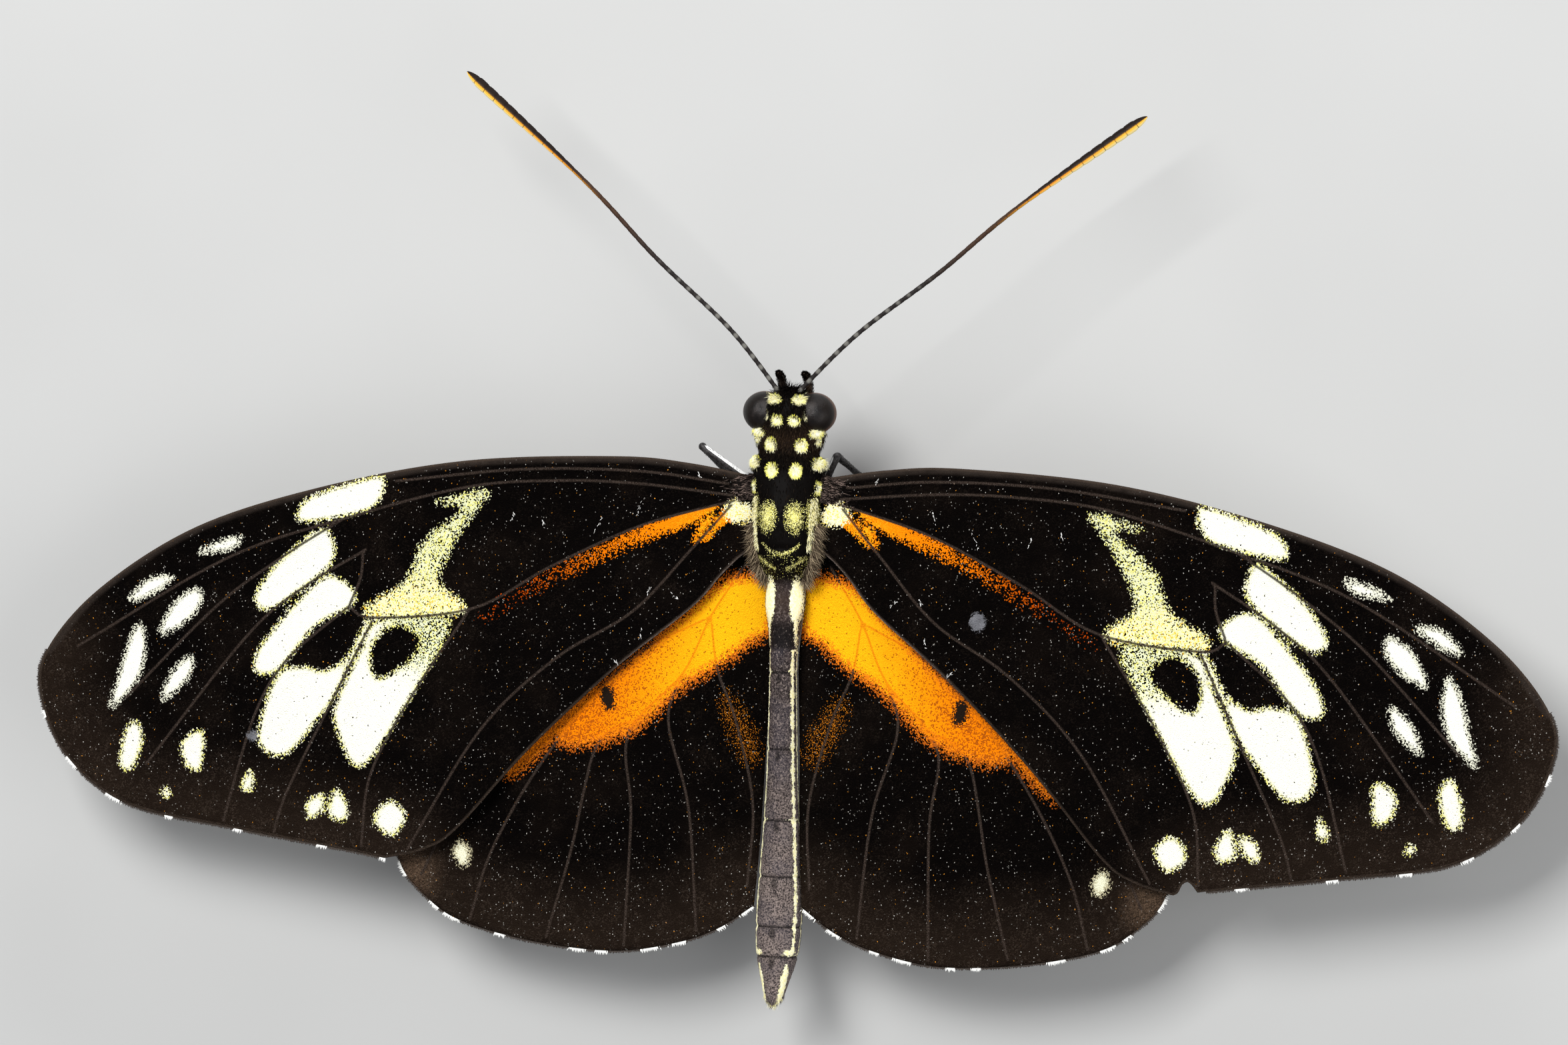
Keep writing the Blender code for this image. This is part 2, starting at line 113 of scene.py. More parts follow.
HOLE_SHAPES = {
    "egg": [(24.9, -7.9), (23.7, -7.1), (22.3, -7.8), (22.7, -9.0), (24.7, -10.4), (25.3, -9.2)],
    "lens": [(29.9, -9.1), (28.0, -7.6), (25.9, -7.1), (26.8, -9.2), (28.4, -10.1)],
}
GREY_SHAPES = {
    "apex_a": [(36.2, -3.2), (34.2, -2.9), (33.6, -2.1), (35.3, -2.6)],
    "apex_b": [(40.6, -6.2), (39.5, -6.0), (37.8, -4.8), (39.3, -4.9)],
    "apex_c": [(38.6, -8.2), (37.3, -7.7), (36.1, -6.4), (36.2, -5.4), (37.6, -6.2)],
    "apex_d": [(39.8, -7.6), (39.5, -9.4), (40.0, -11.2), (41.6, -12.9), (41.1, -10.8), (40.5, -8.7)],
    "apex_e": [(36.5, -9.5), (36.7, -10.8), (38.3, -12.3), (37.8, -10.6)],
}
MOTES = {"left": (32.5, -14.2, 0.34, 0.3), "right": (11.75, -5.5, 0.46, 0.54)}
DUST_SHAPES = {
    "hook": [(18.2, 1.2), (18.2, 0.8), (18.7, 0.4), (19.1, -0.2), (20.0, -0.3), (19.9, 0.2), (20.6, 0.3),
             (21.6, 0.3), (20.9, 0.7), (19.8, 1.0), (19.0, 1.3)],
    "slope": [(19.2, 0.2), (19.1, -0.2), (19.9, -1.4), (20.9, -3.4), (21.2, -4.3), (20.9, -4.9),
              (19.8, -5.9), (21.8, -6.2), (25.2, -6.4), (24.9, -5.8), (23.5, -4.8), (22.8, -3.3),
              (22.5, -2.3), (21.0, -0.8)],
}
STREAK_SHAPES = {
    "cubital": [(4.4, 1.0), (8.8, -0.55), (14.3, -3.3), (18.6, -6.0), (18.6, -6.9), (16.2, -5.5),
                (12.6, -3.35), (9.7, -1.8), (5.6, -0.15)],
    "finger_low": [(3.7, 0.6), (3.2, 0.2), (3.6, -0.1), (4.2, -0.6), (4.9, -1.3), (5.0, -1.2), (4.5, -0.5),
                   (4.1, 0.2)],
    "finger_up": [(4.3, 0.2), (4.8, -0.4), (5.4, -1.3), (5.6, -1.3), (5.4, -0.6), (5.1, -0.1)],
}
BAND_SHAPES = {
    "band": [(1.0, -3.7), (3.7, -3.7), (6.5, -6.2), (9.9, -9.3), (12.8, -11.6), (13.8, -13.0), (13.2, -13.8),
             (10.7, -13.4), (8.6, -12.3), (6.3, -10.0), (3.9, -8.5), (2.3, -7.2), (1.0, -6.2)],
    "thin_streak": [(12.8, -11.5), (15.2, -13.8), (16.7, -15.6), (16.2, -15.5), (14.3, -13.7)],
}
SMUDGE_SHAPES = {"smudge": [(11.1, -10.3), (10.5, -10.6), (10.5, -11.6), (11.0, -11.4)]}
HINDWING_DOT = {"white_dot": [(19.55, -20.15), (19.1, -20.9), (19.45, -21.5), (19.95, -20.8)]}
FOREWING_DASHES = [(45.75, -13.4), (44.0, -16.3), (41.3, -18.3), (37.7, -19.4), (33.3, -19.9), (28.0, -20.6),
                   (24.0, -21.2)]
HINDWING_DASHES = [(23.2, -21.9), (21.1, -23.9), (20.0, -24.6), (17.0, -25.6), (12.2, -26.1), (10.7, -26.2),
                   (7.7, -26.0), (6.0, -25.5), (3.4, -24.6), (1.9, -23.5)]
DASH_REACH = 0.45
FRINGE_LENGTH = 0.24
FRINGE_WIDTH = 0.06
FRINGE_PITCH = 0.035
EMBER_SHAPES = {"inner": [(3.5, -10.6), (2.8, -11.3), (2.0, -12.6), (1.6, -14.0), (2.1, -14.3), (2.8, -13.2),
                          (3.5, -11.7)]}
CORNER_SHAPES = {"corner": [(23.7, -20.9), (22.6, -21.0), (22.0, -21.6), (22.0, -22.6), (22.9, -22.5)]}
FOREWING_RED = {"root": [(3.0, 2.6), (4.6, 2.9), (5.4, 2.5), (4.2, 2.1), (3.0, 2.0)]}
HINDWING_RED = {
    "first": [(3.0, -3.1), (4.2, -3.7), (4.0, -4.4), (3.0, -4.0)],
    "second": [(3.4, -5.2), (4.2, -5.7), (4.0, -6.6), (3.2, -6.2)],
    "third": [(2.0, -4.4), (2.6, -4.8), (2.5, -5.6), (1.9, -5.2)],
}
MARGIN_DOT_PITCH = 1.15
MARGIN_DOT_INSET = 0.85
PALE_FLECKS = [((16.6, 0.1), (16.7, -0.4)), ((14.9, -0.3), (14.7, -1.0)), ((8.8, 1.0), (9.1, 0.1)),
               ((8.6, -6.6), (8.7, -7.3)), ((8.2, -4.2), (8.3, -4.6)), ((5.5, 2.9), (5.3, 2.4)),
               ((11.2, -0.1), (11.7, -1.1)), ((9.9, -9.0), (10.3, -8.6)), ((6.4, -4.9), (6.9, -4.4))]

# Body cross-sections from the face to the tail: Y, half width, centre height, half height
BODY_SECTIONS = [
    (8.12, 0.2, 9.75, 0.3), (7.95, 0.6, 9.75, 0.8), (7.5, 1.05, 9.72, 1.2), (6.8, 1.3, 9.7, 1.46),
    (6.0, 1.38, 9.7, 1.42), (5.45, 2.1, 9.6, 1.2), (5.1, 2.0, 9.5, 1.15), (4.7, 1.9, 9.45, 1.35),
    (4.1, 1.72, 9.4, 1.5), (3.6, 2.2, 9.35, 1.65), (3.1, 2.15, 9.35, 1.85), (2.2, 1.98, 9.35, 2.15),
    (0.4, 2.0, 9.35, 2.33), (-1.4, 1.85, 9.3, 2.15), (-2.5, 1.55, 9.2, 1.8), (-3.15, 1.25, 8.95, 1.35),
    (-3.8, 1.15, 8.75, 1.12), (-4.8, 1.22, 8.75, 1.2), (-6.0, 1.02, 8.75, 1.16), (-7.6, 0.85, 8.65, 1.08),
    (-9.6, 0.83, 8.45, 1.03), (-12.6, 0.89, 7.95, 1.08), (-15.6, 0.97, 7.45, 1.17), (-19.0, 1.16, 6.95, 1.32),
    (-22.8, 1.38, 6.7, 1.52), (-25.6, 1.32, 6.85, 1.42), (-27.4, 0.9, 7.2, 1.02), (-28.6, 0.53, 7.6, 0.63),
    (-29.0, 0.2, 7.75, 0.2)]
HEAD_SQUARENESS = 0.45
ABDOMEN_JOINTS = [-7.6, -9.0, -13.6, -17.9, -21.3, -24.3, -26.1]
ABDOMEN_ROLL = radians(6.0)
BODY_SIDES = 72
BODY_RINGS = 420
HAIR_CURL = 0.3
HAIR_PATCH = 0.003

# Pale tufts of head and thorax, seen from above: X, Y, half width, half length
BODY_SPOTS = {
    "brow": (0.74, 7.36, 0.4, 0.22), "crown": (0.51, 6.12, 0.28, 0.23), "temple": (1.17, 6.42, 0.14, 0.2),
    "cheek": (1.72, 5.44, 0.35, 0.24), "cheek_tail": (1.78, 4.98, 0.13, 0.15),
    "collar": (0.92, 4.66, 0.31, 0.31), "shoulder": (1.9, 3.6, 0.34, 0.29), "breast": (0.72, 3.1, 0.31, 0.43),
}
WING_TUFT = (1.9, 2.1, 0.2, 0.36)
DUSTED_PATCH = (0.8, 0.32, 0.63, 1.06)
LATERAL_EDGE = (1.74, 0.45, 0.38, 1.2)
ABDOMEN_PATCH = (0.8, -4.65, 0.36, 1.3)
TAIL_PATCH = (1.15, -25.85, 0.42, 0.18)
PALE_RIMS = [-9.0, -17.9, -26.1]

# Eyes, feelers, mouth and legs
EYE_CENTRE = (1.5, 6.59, 9.75)
EYE_RADII = (1.33, 1.24, 1.26)
FEELERS = {
    "left": [(-0.7, 7.75, 10.45), (-0.85, 8.1, 10.4), (-3.8, 11.5, 10.2), (-8.5, 15.6, 9.9),
             (-13.0, 20.0, 9.6), (-20.65, 26.5, 9.3)],
    "right": [(0.7, 7.75, 10.45), (0.85, 8.1, 10.4), (4.1, 11.5, 10.2), (8.7, 15.2, 9.9),
              (13.3, 19.3, 9.6), (20.75, 24.9, 9.3)],
}
FEELER_JOINTS = 34
SHAFT_RADIUS = 0.135
CLUB_RADIUS = 0.31
PALP_PATH = [(0.6, 6.9, 8.3), (0.78, 7.4, 7.9), (0.8, 8.1, 8.0), (0.8, 8.75, 8.8), (0.78, 8.95, 9.85)]
COIL_CENTRE = (0.0, 7.1, 7.1)
TARSUS_RADIUS = 0.17

# Hip, knee, ankle and toe of each leg
MID_LEGS = {
    "left": [(1.2, 1.3, 6.5), (5.75, 4.4, 7.0), (4.9, 2.6, 1.1), (8.6, 0.9, TARSUS_RADIUS * 0.8)],
    "right": [(1.2, 1.3, 6.5), (2.5, 4.1, 6.9), (4.3, 2.0, 1.1), (8.2, 0.5, TARSUS_RADIUS * 0.8)],
}
HIND_LEGS = {
    "left": [(1.0, -1.6, 6.6), (4.6, -7.4, 6.1), (6.9, -11.6, 1.1), (9.0, -16.0, TARSUS_RADIUS * 0.8)],
    "right": [(1.0, -1.6, 6.6), (4.5, -7.6, 6.1), (6.6, -11.9, 1.1), (8.8, -16.4, TARSUS_RADIUS * 0.8)],
}
FORE_LEG = [(0.7, 2.8, 7.6), (0.7, 3.0, 6.9), (0.85, 4.9, 7.1), (0.95, 5.5, 6.75), (0.9, 5.0, 6.35),
            (0.75, 2.6, 6.1)]


# Curves and distances

def smooth_curve(points, steps, closed=False):
    """A Catmull-Rom curve through the points, as an array with one row a point."""
    controls = np.array(points, dtype=float)
    if closed:
        controls = np.vstack([controls[-1], controls, controls[0], controls[1]])
    else:
        controls = np.vstack([2 * controls[0] - controls[1], controls, 2 * controls[-1] - controls[-2]])
    t = (np.arange(steps) / steps)[:, None]
    pieces = []
    for before, start, end, after in zip(controls, controls[1:], controls[2:], controls[3:]):
        square = 2 * before - 5 * start + 4 * end - after
        cube = 3 * start - before - 3 * end + after
        pieces.append(0.5 * (2 * start + (end - before) * t + square * t ** 2 + cube * t ** 3))
    if not closed:
        pieces.append(controls[-2:-1])
    return np.vstack(pieces)


def even_steps(line, pitch):
    """The same line with points at an even pitch."""
    run = np.concatenate([[0], np.cumsum(np.linalg.norm(np.diff(line, axis=0), axis=1))])
    stops = np.linspace(0, run[-1], max(2, int(round(run[-1] / pitch)) + 1))
    return np.column_stack([np.interp(stops, run, line[:, k]) for k in range(line.shape[1])])


def line_distance(points, line):
    """Distance in plan from each point to a line of points."""
    best = np.full(len(points), 1e9)
    for start, end in zip(line, line[1:]):
        run = end - start
        t = np.clip((points - start) @ run / max(run @ run, 1e-12), 0, 1)
        best = np.minimum(best, np.linalg.norm(points - start - t[:, None] * run, axis=1))
    return best


def inside(points, outline):
    """Whether each point lies inside a closed outline."""
    within = np.zeros(len(points), dtype=bool)
    for start, end in zip(outline, np.roll(outline, -1, axis=0)):
        if start[1] == end[1]:
            continue
        spans = (start[1] > points[:, 1]) != (end[1] > points[:, 1])
        cross = start[0] + (points[:, 1] - start[1]) * (end[0] - start[0]) / (end[1] - start[1])
        within ^= spans & (points[:, 0] < cross)
    return within


def depth_in(points, shapes):
    """How deep each point lies inside the nearest of some shapes, negative outside them."""
    best = np.full(len(points), -50.0)
    for corners in shapes.values():
        outline = smooth_curve(corners, 5, closed=True)
        away = line_distance(points, np.vstack([outline, outline[:1]]))
        best = np.maximum(best, np.where(inside(points, outline), away, -away))
    return best


def oval_depth(points, oval):
    """Depth inside an oval seen from above, on both sides of the body."""
    x, y, half_width, half_length = oval
    reach = np.hypot((np.abs(points[:, 0]) - x) / half_width, (points[:, 1] - y) / half_length)
    return (1 - reach) * min(half_width, half_length)


# Meshes

def unit(rows):
    """The same directions, each of length one."""
    return rows / np.maximum(np.linalg.norm(rows, axis=1)[:, None], 1e-9)


def one_side(mirror, plan, third):
    """Plan points or directions on one side of the body, with a third number for each."""
    return np.column_stack([mirror * plan[:, 0], plan[:, 1], np.broadcast_to(third, len(plan))])


def spray(count, spread, upward=1.0):
    """Random shifts of directions, scaled upwards by a number of their own."""
    return rng.normal(0, spread, (count, 3)) * [1, 1, upward]


def add_mesh(name, points, faces, finish, attributes, smooth=True):
    """A mesh object from points in millimetres, with a number at each point for each attribute."""
    mesh = bpy.data.meshes.new(name)
    mesh.from_pydata(((np.asarray(points) + ORIGIN_SHIFT) * MM).tolist(), [], faces)
    for key, values in attributes.items():
        layer = mesh.attributes.new(key, "FLOAT", "POINT")
        layer.data.foreach_set("value", np.broadcast_to(values, len(points)).astype(np.float32))
    mesh.materials.append(finish)
    if smooth:
        mesh.shade_smooth()
    made = bpy.data.objects.new(name, mesh)
    bpy.context.collection.objects.link(made)
    return made


def bake_map(made, point_uv):
    """A UV map named OFBake from one pair of numbers for each mesh point."""
    mesh = made.data
    layer = mesh.uv_layers.new(name="OFBake")
    corners = np.empty(len(mesh.loops), dtype=np.int32)
    mesh.loops.foreach_get("vertex_index", corners)
    layer.data.foreach_set("uv", np.asarray(point_uv, dtype=np.float32)[corners].ravel())


def ring_faces(ring_count, sides):
    """Quads between neighbouring rings, and a cap at each end."""
    faces = [list(reversed(range(sides)))]
    for ring in range(ring_count - 1):
        low = ring * sides
        faces += [[low + i, low + (i + 1) % sides, low + sides + (i + 1) % sides, low + sides + i]
                  for i in range(sides)]
    faces.append([(ring_count - 1) * sides + i for i in range(sides)])
    return faces


def ring_angles(sides):
    return tau * (np.arange(sides) + 0.5) / sides


def tube_points(path, radii, sides):
    """Rings of points square to a path."""
    along = unit(np.gradient(path, axis=0))
    across = unit(np.cross(along, UP))
    upward = np.cross(across, along)
    angles = ring_angles(sides)[None, :, None]
    ring = np.sin(angles) * across[:, None] + np.cos(angles) * upward[:, None]
    return (path[:, None] + radii[:, None, None] * ring).reshape(-1, 3)


def add_tube(name, path, radii, sides, finish, attributes):
    return add_mesh(name, tube_points(path, radii, sides), ring_faces(len(path), sides), finish, attributes)


def hairs(name, roots, directions, normals, lengths, widths, finish, attributes, uv):
    """Thin solid hairs: three-sided, bent towards the surface and pointed, joined into one mesh."""
    count = len(roots)
    directions = unit(directions)
    across = unit(np.cross(directions, normals))
    lift = np.cross(across, directions)
    half = np.reshape(widths, (-1, 1)) / 2
    reach = lengths[:, None]
    template = []
    for along, wide in ((0.0, 0.7), (0.5, 1.0)):
        centre = roots + directions * reach * along + lift * reach * HAIR_CURL * along * (1 - along)
        side = across * half * wide
        template += [centre - side, centre + side, centre + lift * half * 0.5 * wide]
    template.append(roots + directions * reach)
    pattern = [[0, 1, 4, 3], [1, 2, 5, 4], [2, 0, 3, 5], [3, 4, 6], [4, 5, 6], [5, 3, 6], [0, 2, 1]]
    faces = [[corner + 7 * i for corner in face] for i in range(count) for face in pattern]
    values = {key: np.repeat(np.broadcast_to(value, count), 7) for key, value in attributes.items()}
    values["tip"] = np.tile([0, 0, 0, 0.5, 0.5, 0.5, 1.0], count)
    made = add_mesh(name, np.stack(template, axis=1).reshape(-1, 3), faces, finish, values, smooth=False)
    patch = np.array([(0, 0), (1, 0), (0.5, 0.2), (0.1, 0.5), (0.9, 0.5), (0.5, 0.7), (0.5, 1)]) * HAIR_PATCH
    bake_map(made, (uv[:, None] + patch[None]).reshape(-1, 2))
    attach(made, "root")
    return made


# Materials

class Finish:
    """A material under construction: each call adds a node, and a string reads the mesh's attribute."""

    def __init__(self, name, roughness, specular):
        self.material = bpy.data.materials.new(name)
        self.material.use_nodes = True
        self.tree = self.material.node_tree
        self.shader = self.tree.nodes["Principled BSDF"]
        self.shader.inputs["Roughness"].default_value = roughness
        self.shader.inputs["Specular IOR Level"].default_value = specular
        self.place = self.add("ShaderNodeTexCoord", {}).outputs["Object"]

    def add(self, kind, sockets, **settings):
        node = self.tree.nodes.new(kind)
        for key, value in settings.items():
            setattr(node, key, value)
        for key, value in sockets.items():
            self.feed(node.inputs[key], value)
        return node

    def feed(self, socket, value):
        if isinstance(value, str):
            value = self.add("ShaderNodeAttribute", {}, attribute_name=value).outputs["Fac"]
        if isinstance(value, bpy.types.NodeSocket):
            self.tree.links.new(value, socket)
        else:
            socket.default_value = (*value, 1.0) if isinstance(value, tuple) else value

    def math(self, operation, *values):
        return self.add("ShaderNodeMath", dict(enumerate(values)), operation=operation).outputs[0]

    def times(self, product, *factors):
        for factor in factors:
            product = self.math("MULTIPLY", product, factor)
        return product

    def plus(self, first, second):
        return self.math("ADD", first, second)

    def noise(self, per_mm, detail):
        sockets = {"Vector": self.place, "Scale": per_mm / MM, "Detail": detail}
        return self.add("ShaderNodeTexNoise", sockets).outputs["Fac"]

    def cells(self, per_mm):
        """Cells like scales: distance from each one's middle, and three chance numbers for each."""
        node = self.add("ShaderNodeTexVoronoi", {"Vector": self.place, "Scale": per_mm / MM})
        parts = self.add("ShaderNodeSeparateColor", {0: node.outputs["Color"]})
        return node.outputs["Distance"], *parts.outputs

    def ramp(self, value, low, high, start=0.0, end=1.0, kind="SMOOTHSTEP"):
        sockets = dict(enumerate((value, low, high, start, end)))
        return self.add("ShaderNodeMapRange", sockets, interpolation_type=kind).outputs[0]

    def mix(self, factor, first, second):
        return self.add("ShaderNodeMix", {0: factor, 6: first, 7: second}, data_type="RGBA").outputs[2]

    def paint(self, mask, value):
        """Lays a colour over what is shown so far."""
        self.shown = self.mix(mask, self.shown, value)

    def speckled(self, depth, chance, spread, softness):
        """A mask whose edge breaks up into single scales across the spread, in millimetres."""
        shaken = self.plus(depth, self.times(self.math("SUBTRACT", chance, 0.5), spread))
        return self.ramp(shaken, -softness, softness)

    def bump(self, height, distance, strength):
        sockets = {"Distance": distance * MM, "Strength": strength, "Height": height}
        self.feed(self.shader.inputs["Normal"], self.add("ShaderNodeBump", sockets).outputs[0])

    def colour(self, value):
        self.feed(self.shader.inputs["Base Color"], value)
        return self.material


CREAM = (0.88, 0.86, 0.62)
BRIGHT_CREAM = (0.94, 0.93, 0.8)
YELLOW_DUST = (0.8, 0.76, 0.2)
GROUND = (0.0016, 0.0011, 0.001)
GROUND_BROWN = (0.015, 0.0095, 0.0065)
ORANGE = (1.0, 0.24, 0.002)
AMBER = (1.0, 0.46, 0.012)
RED_ORANGE = (0.4, 0.05, 0.001)


def wing_ground(name):
    """Near-black scales, browner and mottled towards the margin, with a few pale or orange ones."""
    finish = Finish(name, 0.75, 0.012)
    scales = finish.cells(SCALES_PER_MM)
    broad = finish.ramp(finish.noise(0.22, 3.0), 0.45, 0.75, 0.0, 0.2)
    brownness = finish.plus(finish.ramp("margin", 6.0, 0.3, 0.0, 0.8), broad)
    finish.shown = finish.mix(brownness, GROUND, GROUND_BROWN)
    broken = finish.ramp(finish.noise(1.2, 4.0), 0.35, 0.65, 0.1, 0.9)
    mottle = finish.times(finish.ramp(scales[1], 0.5, 1.0), finish.plus(brownness, 0.12), broken)
    finish.paint(mottle, (0.038, 0.027, 0.02))
    _, size, place, kind = finish.cells(SPECKS_PER_MM)
    crowd = finish.ramp(finish.noise(0.5, 4.0), 0.3, 0.7, -0.006, 0.003)
    speck = finish.ramp(finish.plus(place, crowd), 0.988, 0.989)
    tint = finish.mix(finish.ramp(kind, 0.84, 0.86), (0.42, 0.4, 0.36), (0.7, 0.28, 0.03))
    finish.paint(finish.times(speck, finish.ramp(size, 0.0, 1.0, 0.15, 1.0)), tint)
    return finish, *scales


def vein_lines(finish, pale, strength):
    """Thin grey-brown veins on the dark scales, darker where they cross a pale marking."""
    broken = finish.ramp(finish.noise(15.0, 2.0), 0.3, 0.7)
    grain = finish.mix(broken, (0.012, 0.008, 0.006), (0.062, 0.045, 0.036))
    grain = finish.mix(pale, grain, (0.008, 0.005, 0.004))
    finish.paint(finish.times(finish.ramp("vein", 0.12, 0.03), strength), grain)


def wing_finished(finish, cell):
    """The paler, browner under face with its white and red dots, and the relief of the scales."""
    finish.paint(finish.times("under", 0.3), (0.15, 0.1, 0.065))
    finish.paint(finish.times(finish.ramp("dots", 0.33, 0.24), "under"), (0.82, 0.8, 0.72))
    finish.paint(finish.times(finish.ramp("red", -0.05, 0.08), "under"), (0.5, 0.025, 0.012))
    finish.bump(finish.plus(finish.times(cell, -6.0), finish.noise(2.5, 4.0)), 0.016, 0.7)
    return finish.colour(finish.shown)


def forewing_finish():
    finish, cell, chance, second, third = wing_ground("forewing_scales")
    edging = finish.mix(finish.noise(1.5, 4.0), (0.01, 0.007, 0.006), (0.045, 0.034, 0.027))
    finish.paint(finish.ramp("costa", 0.5, 0.2, 0.0, 0.8), edging)
    finish.paint(finish.ramp("rim", 0.2, 0.05, 0.0, 0.7), (0.06, 0.043, 0.032))
    hem = finish.times(finish.ramp("rim", 0.1, 0.03), finish.ramp("out", 12.0, 8.0))
    hem = finish.times(hem, finish.ramp("costa", 1.0, 2.0))
    finish.paint(hem, finish.mix(finish.noise(3.0, 4.0), (0.01, 0.007, 0.006), (0.24, 0.19, 0.16)))
    thinning = finish.ramp("out", 8.5, 18.0, -0.04, 0.3, "LINEAR")
    spread = finish.ramp("out", 4.0, 11.0, 0.3, 0.9)
    streak = finish.speckled(finish.math("SUBTRACT", "streak", thinning), chance, spread, 0.04)
    kept = finish.math("GREATER_THAN", second, finish.ramp("out", 7.0, 17.0, 0.0, 0.82, "LINEAR"))
    hot = finish.mix(finish.ramp("out", 7.0, 17.0), ORANGE, RED_ORANGE)
    near_root = finish.times(finish.ramp("out", 8.0, 3.5), finish.ramp(third, 0.3, 0.9))
    streak = finish.times(streak, finish.ramp("below", -0.04, 0.04), kept)
    finish.paint(streak, finish.mix(near_root, hot, AMBER))
    low_end = finish.ramp("back", 3.2, 6.0)
    dusty = finish.math("SUBTRACT", finish.plus("dust", finish.times(low_end, 0.4)), 0.1)
    full = finish.ramp(finish.plus(third, finish.times(low_end, 0.09)), 0.17, 0.19)
    dust = finish.times(finish.speckled(dusty, second, 0.6, 0.04), full)
    dust_colour = finish.mix(low_end, (0.76, 0.78, 0.48), (0.9, 0.86, 0.5))
    dust_colour = finish.mix(finish.ramp(third, 0.62, 0.85), dust_colour, YELLOW_DUST)
    amber_grain = finish.times(low_end, finish.ramp(chance, 0.84, 0.88))
    finish.paint(dust, finish.mix(amber_grain, dust_colour, (0.9, 0.55, 0.05)))
    grey = finish.mix(finish.ramp("grey", 0.05, 0.3), (0.74, 0.73, 0.58), (0.95, 0.95, 0.82))
    finish.paint(finish.speckled("grey", third, 0.5, 0.05), grey)
    sparse = finish.times(finish.ramp("out", 25.5, 23.0), finish.ramp("back", 11.0, 8.5))
    sparse = finish.times(sparse, finish.ramp("out", 10.0, 20.0))
    kept = finish.ramp(finish.math("SUBTRACT", third, finish.times(sparse, 0.34)), 0.0, 0.01)
    cream = finish.times(finish.speckled("cream", second, 0.46, 0.04), kept)
    pale = finish.mix(finish.ramp("cream", 0.05, 0.4), CREAM, BRIGHT_CREAM)
    pale = finish.mix(sparse, pale, finish.mix(finish.ramp(chance, 0.5, 0.9), (0.8, 0.84, 0.55), YELLOW_DUST))
    yellow = finish.times(finish.ramp("cream", 0.24, 0.0), finish.ramp(third, 0.5, 0.7))
    pale = finish.mix(yellow, pale, YELLOW_DUST)
    pale = finish.mix(finish.ramp(third, 0.0, 0.35, 0.25, 0.0), pale, (0.7, 0.66, 0.42))
    root = finish.mix(finish.ramp(third, 0.6, 0.9), (1.0, 0.95, 0.62), (1.0, 0.78, 0.18))
    finish.paint(cream, finish.mix(finish.ramp("out", 5.0, 4.2), pale, root))
    vein_lines(finish, cream, 0.9)
    mote = finish.mix(finish.noise(2.0, 4.0), (0.05, 0.05, 0.055), (0.24, 0.24, 0.26))
    finish.paint(finish.speckled("mote", chance, 0.2, 0.08), mote)
    return wing_finished(finish, cell)


def hindwing_finish():
    finish, cell, chance, second, third = wing_ground("hindwing_scales")
    corner = finish.mix(chance, (0.035, 0.023, 0.015), (0.15, 0.095, 0.06))
    finish.paint(finish.ramp("corner", -1.7, 0.5, 0.0, 0.7), corner)
    _, _, fleck, shade = finish.cells(26.0)
    density = finish.ramp("ember", -0.9, 0.5, 0.0, 0.24)
    ember = finish.mix(shade, (0.12, 0.025, 0.003), (0.75, 0.25, 0.012))
    finish.paint(finish.ramp(finish.plus(fleck, density), 1.0, 1.01), ember)
    near = finish.speckled(finish.plus("band", 0.14), second, 1.3, 0.04)
    finish.paint(near, (0.5, 0.11, 0.008))
    edge = finish.speckled(finish.plus("band", 0.04), chance, 0.8, 0.04)
    finish.paint(edge, (0.85, 0.22, 0.008))
    core = finish.speckled(finish.math("SUBTRACT", "band", 0.2), third, 0.6, 0.08)
    outer = finish.ramp(finish.plus("out", finish.noise(0.8, 3.0)), 3.5, 12.0)
    finish.paint(core, finish.mix(outer, (1.0, 0.47, 0.006), ORANGE))
    worn = finish.plus(second, finish.ramp("out", 5.0, 13.0, 0.03, 0.5))
    finish.paint(finish.times(finish.ramp(worn, 0.99, 1.0, 0.0, 0.75), edge), (0.27, 0.05, 0.005))
    finish.paint(finish.speckled(finish.plus("smudge", 0.1), chance, 0.4, 0.05), GROUND_BROWN)
    finish.paint(finish.speckled(finish.plus("cream", 0.1), second, 0.5, 0.05), (0.5, 0.45, 0.28))
    finish.paint(finish.speckled(finish.math("SUBTRACT", "cream", 0.06), chance, 0.3, 0.06), CREAM)
    vein_lines(finish, 0.0, finish.ramp("band", 0.1, -0.1, 0.0, 0.9))
    finish.paint(finish.times(finish.ramp("vein", 0.1, 0.02, 0.0, 0.65), edge), (0.72, 0.17, 0.004))
    return wing_finished(finish, cell)


def fringe_finish():
    finish = Finish("fringe", 0.65, 0.3)
    dark = finish.mix(finish.noise(2.0, 2.0), (0.02, 0.015, 0.012), (0.06, 0.045, 0.035))
    return finish.colour(finish.mix(finish.ramp("dash", 0.4, 0.6), dark, (0.82, 0.82, 0.78)))


def fleck_finish():
    finish = Finish("pale_fleck", 0.6, 0.3)
    return finish.colour(finish.mix("shade", (0.3, 0.29, 0.27), (0.9, 0.89, 0.86)))


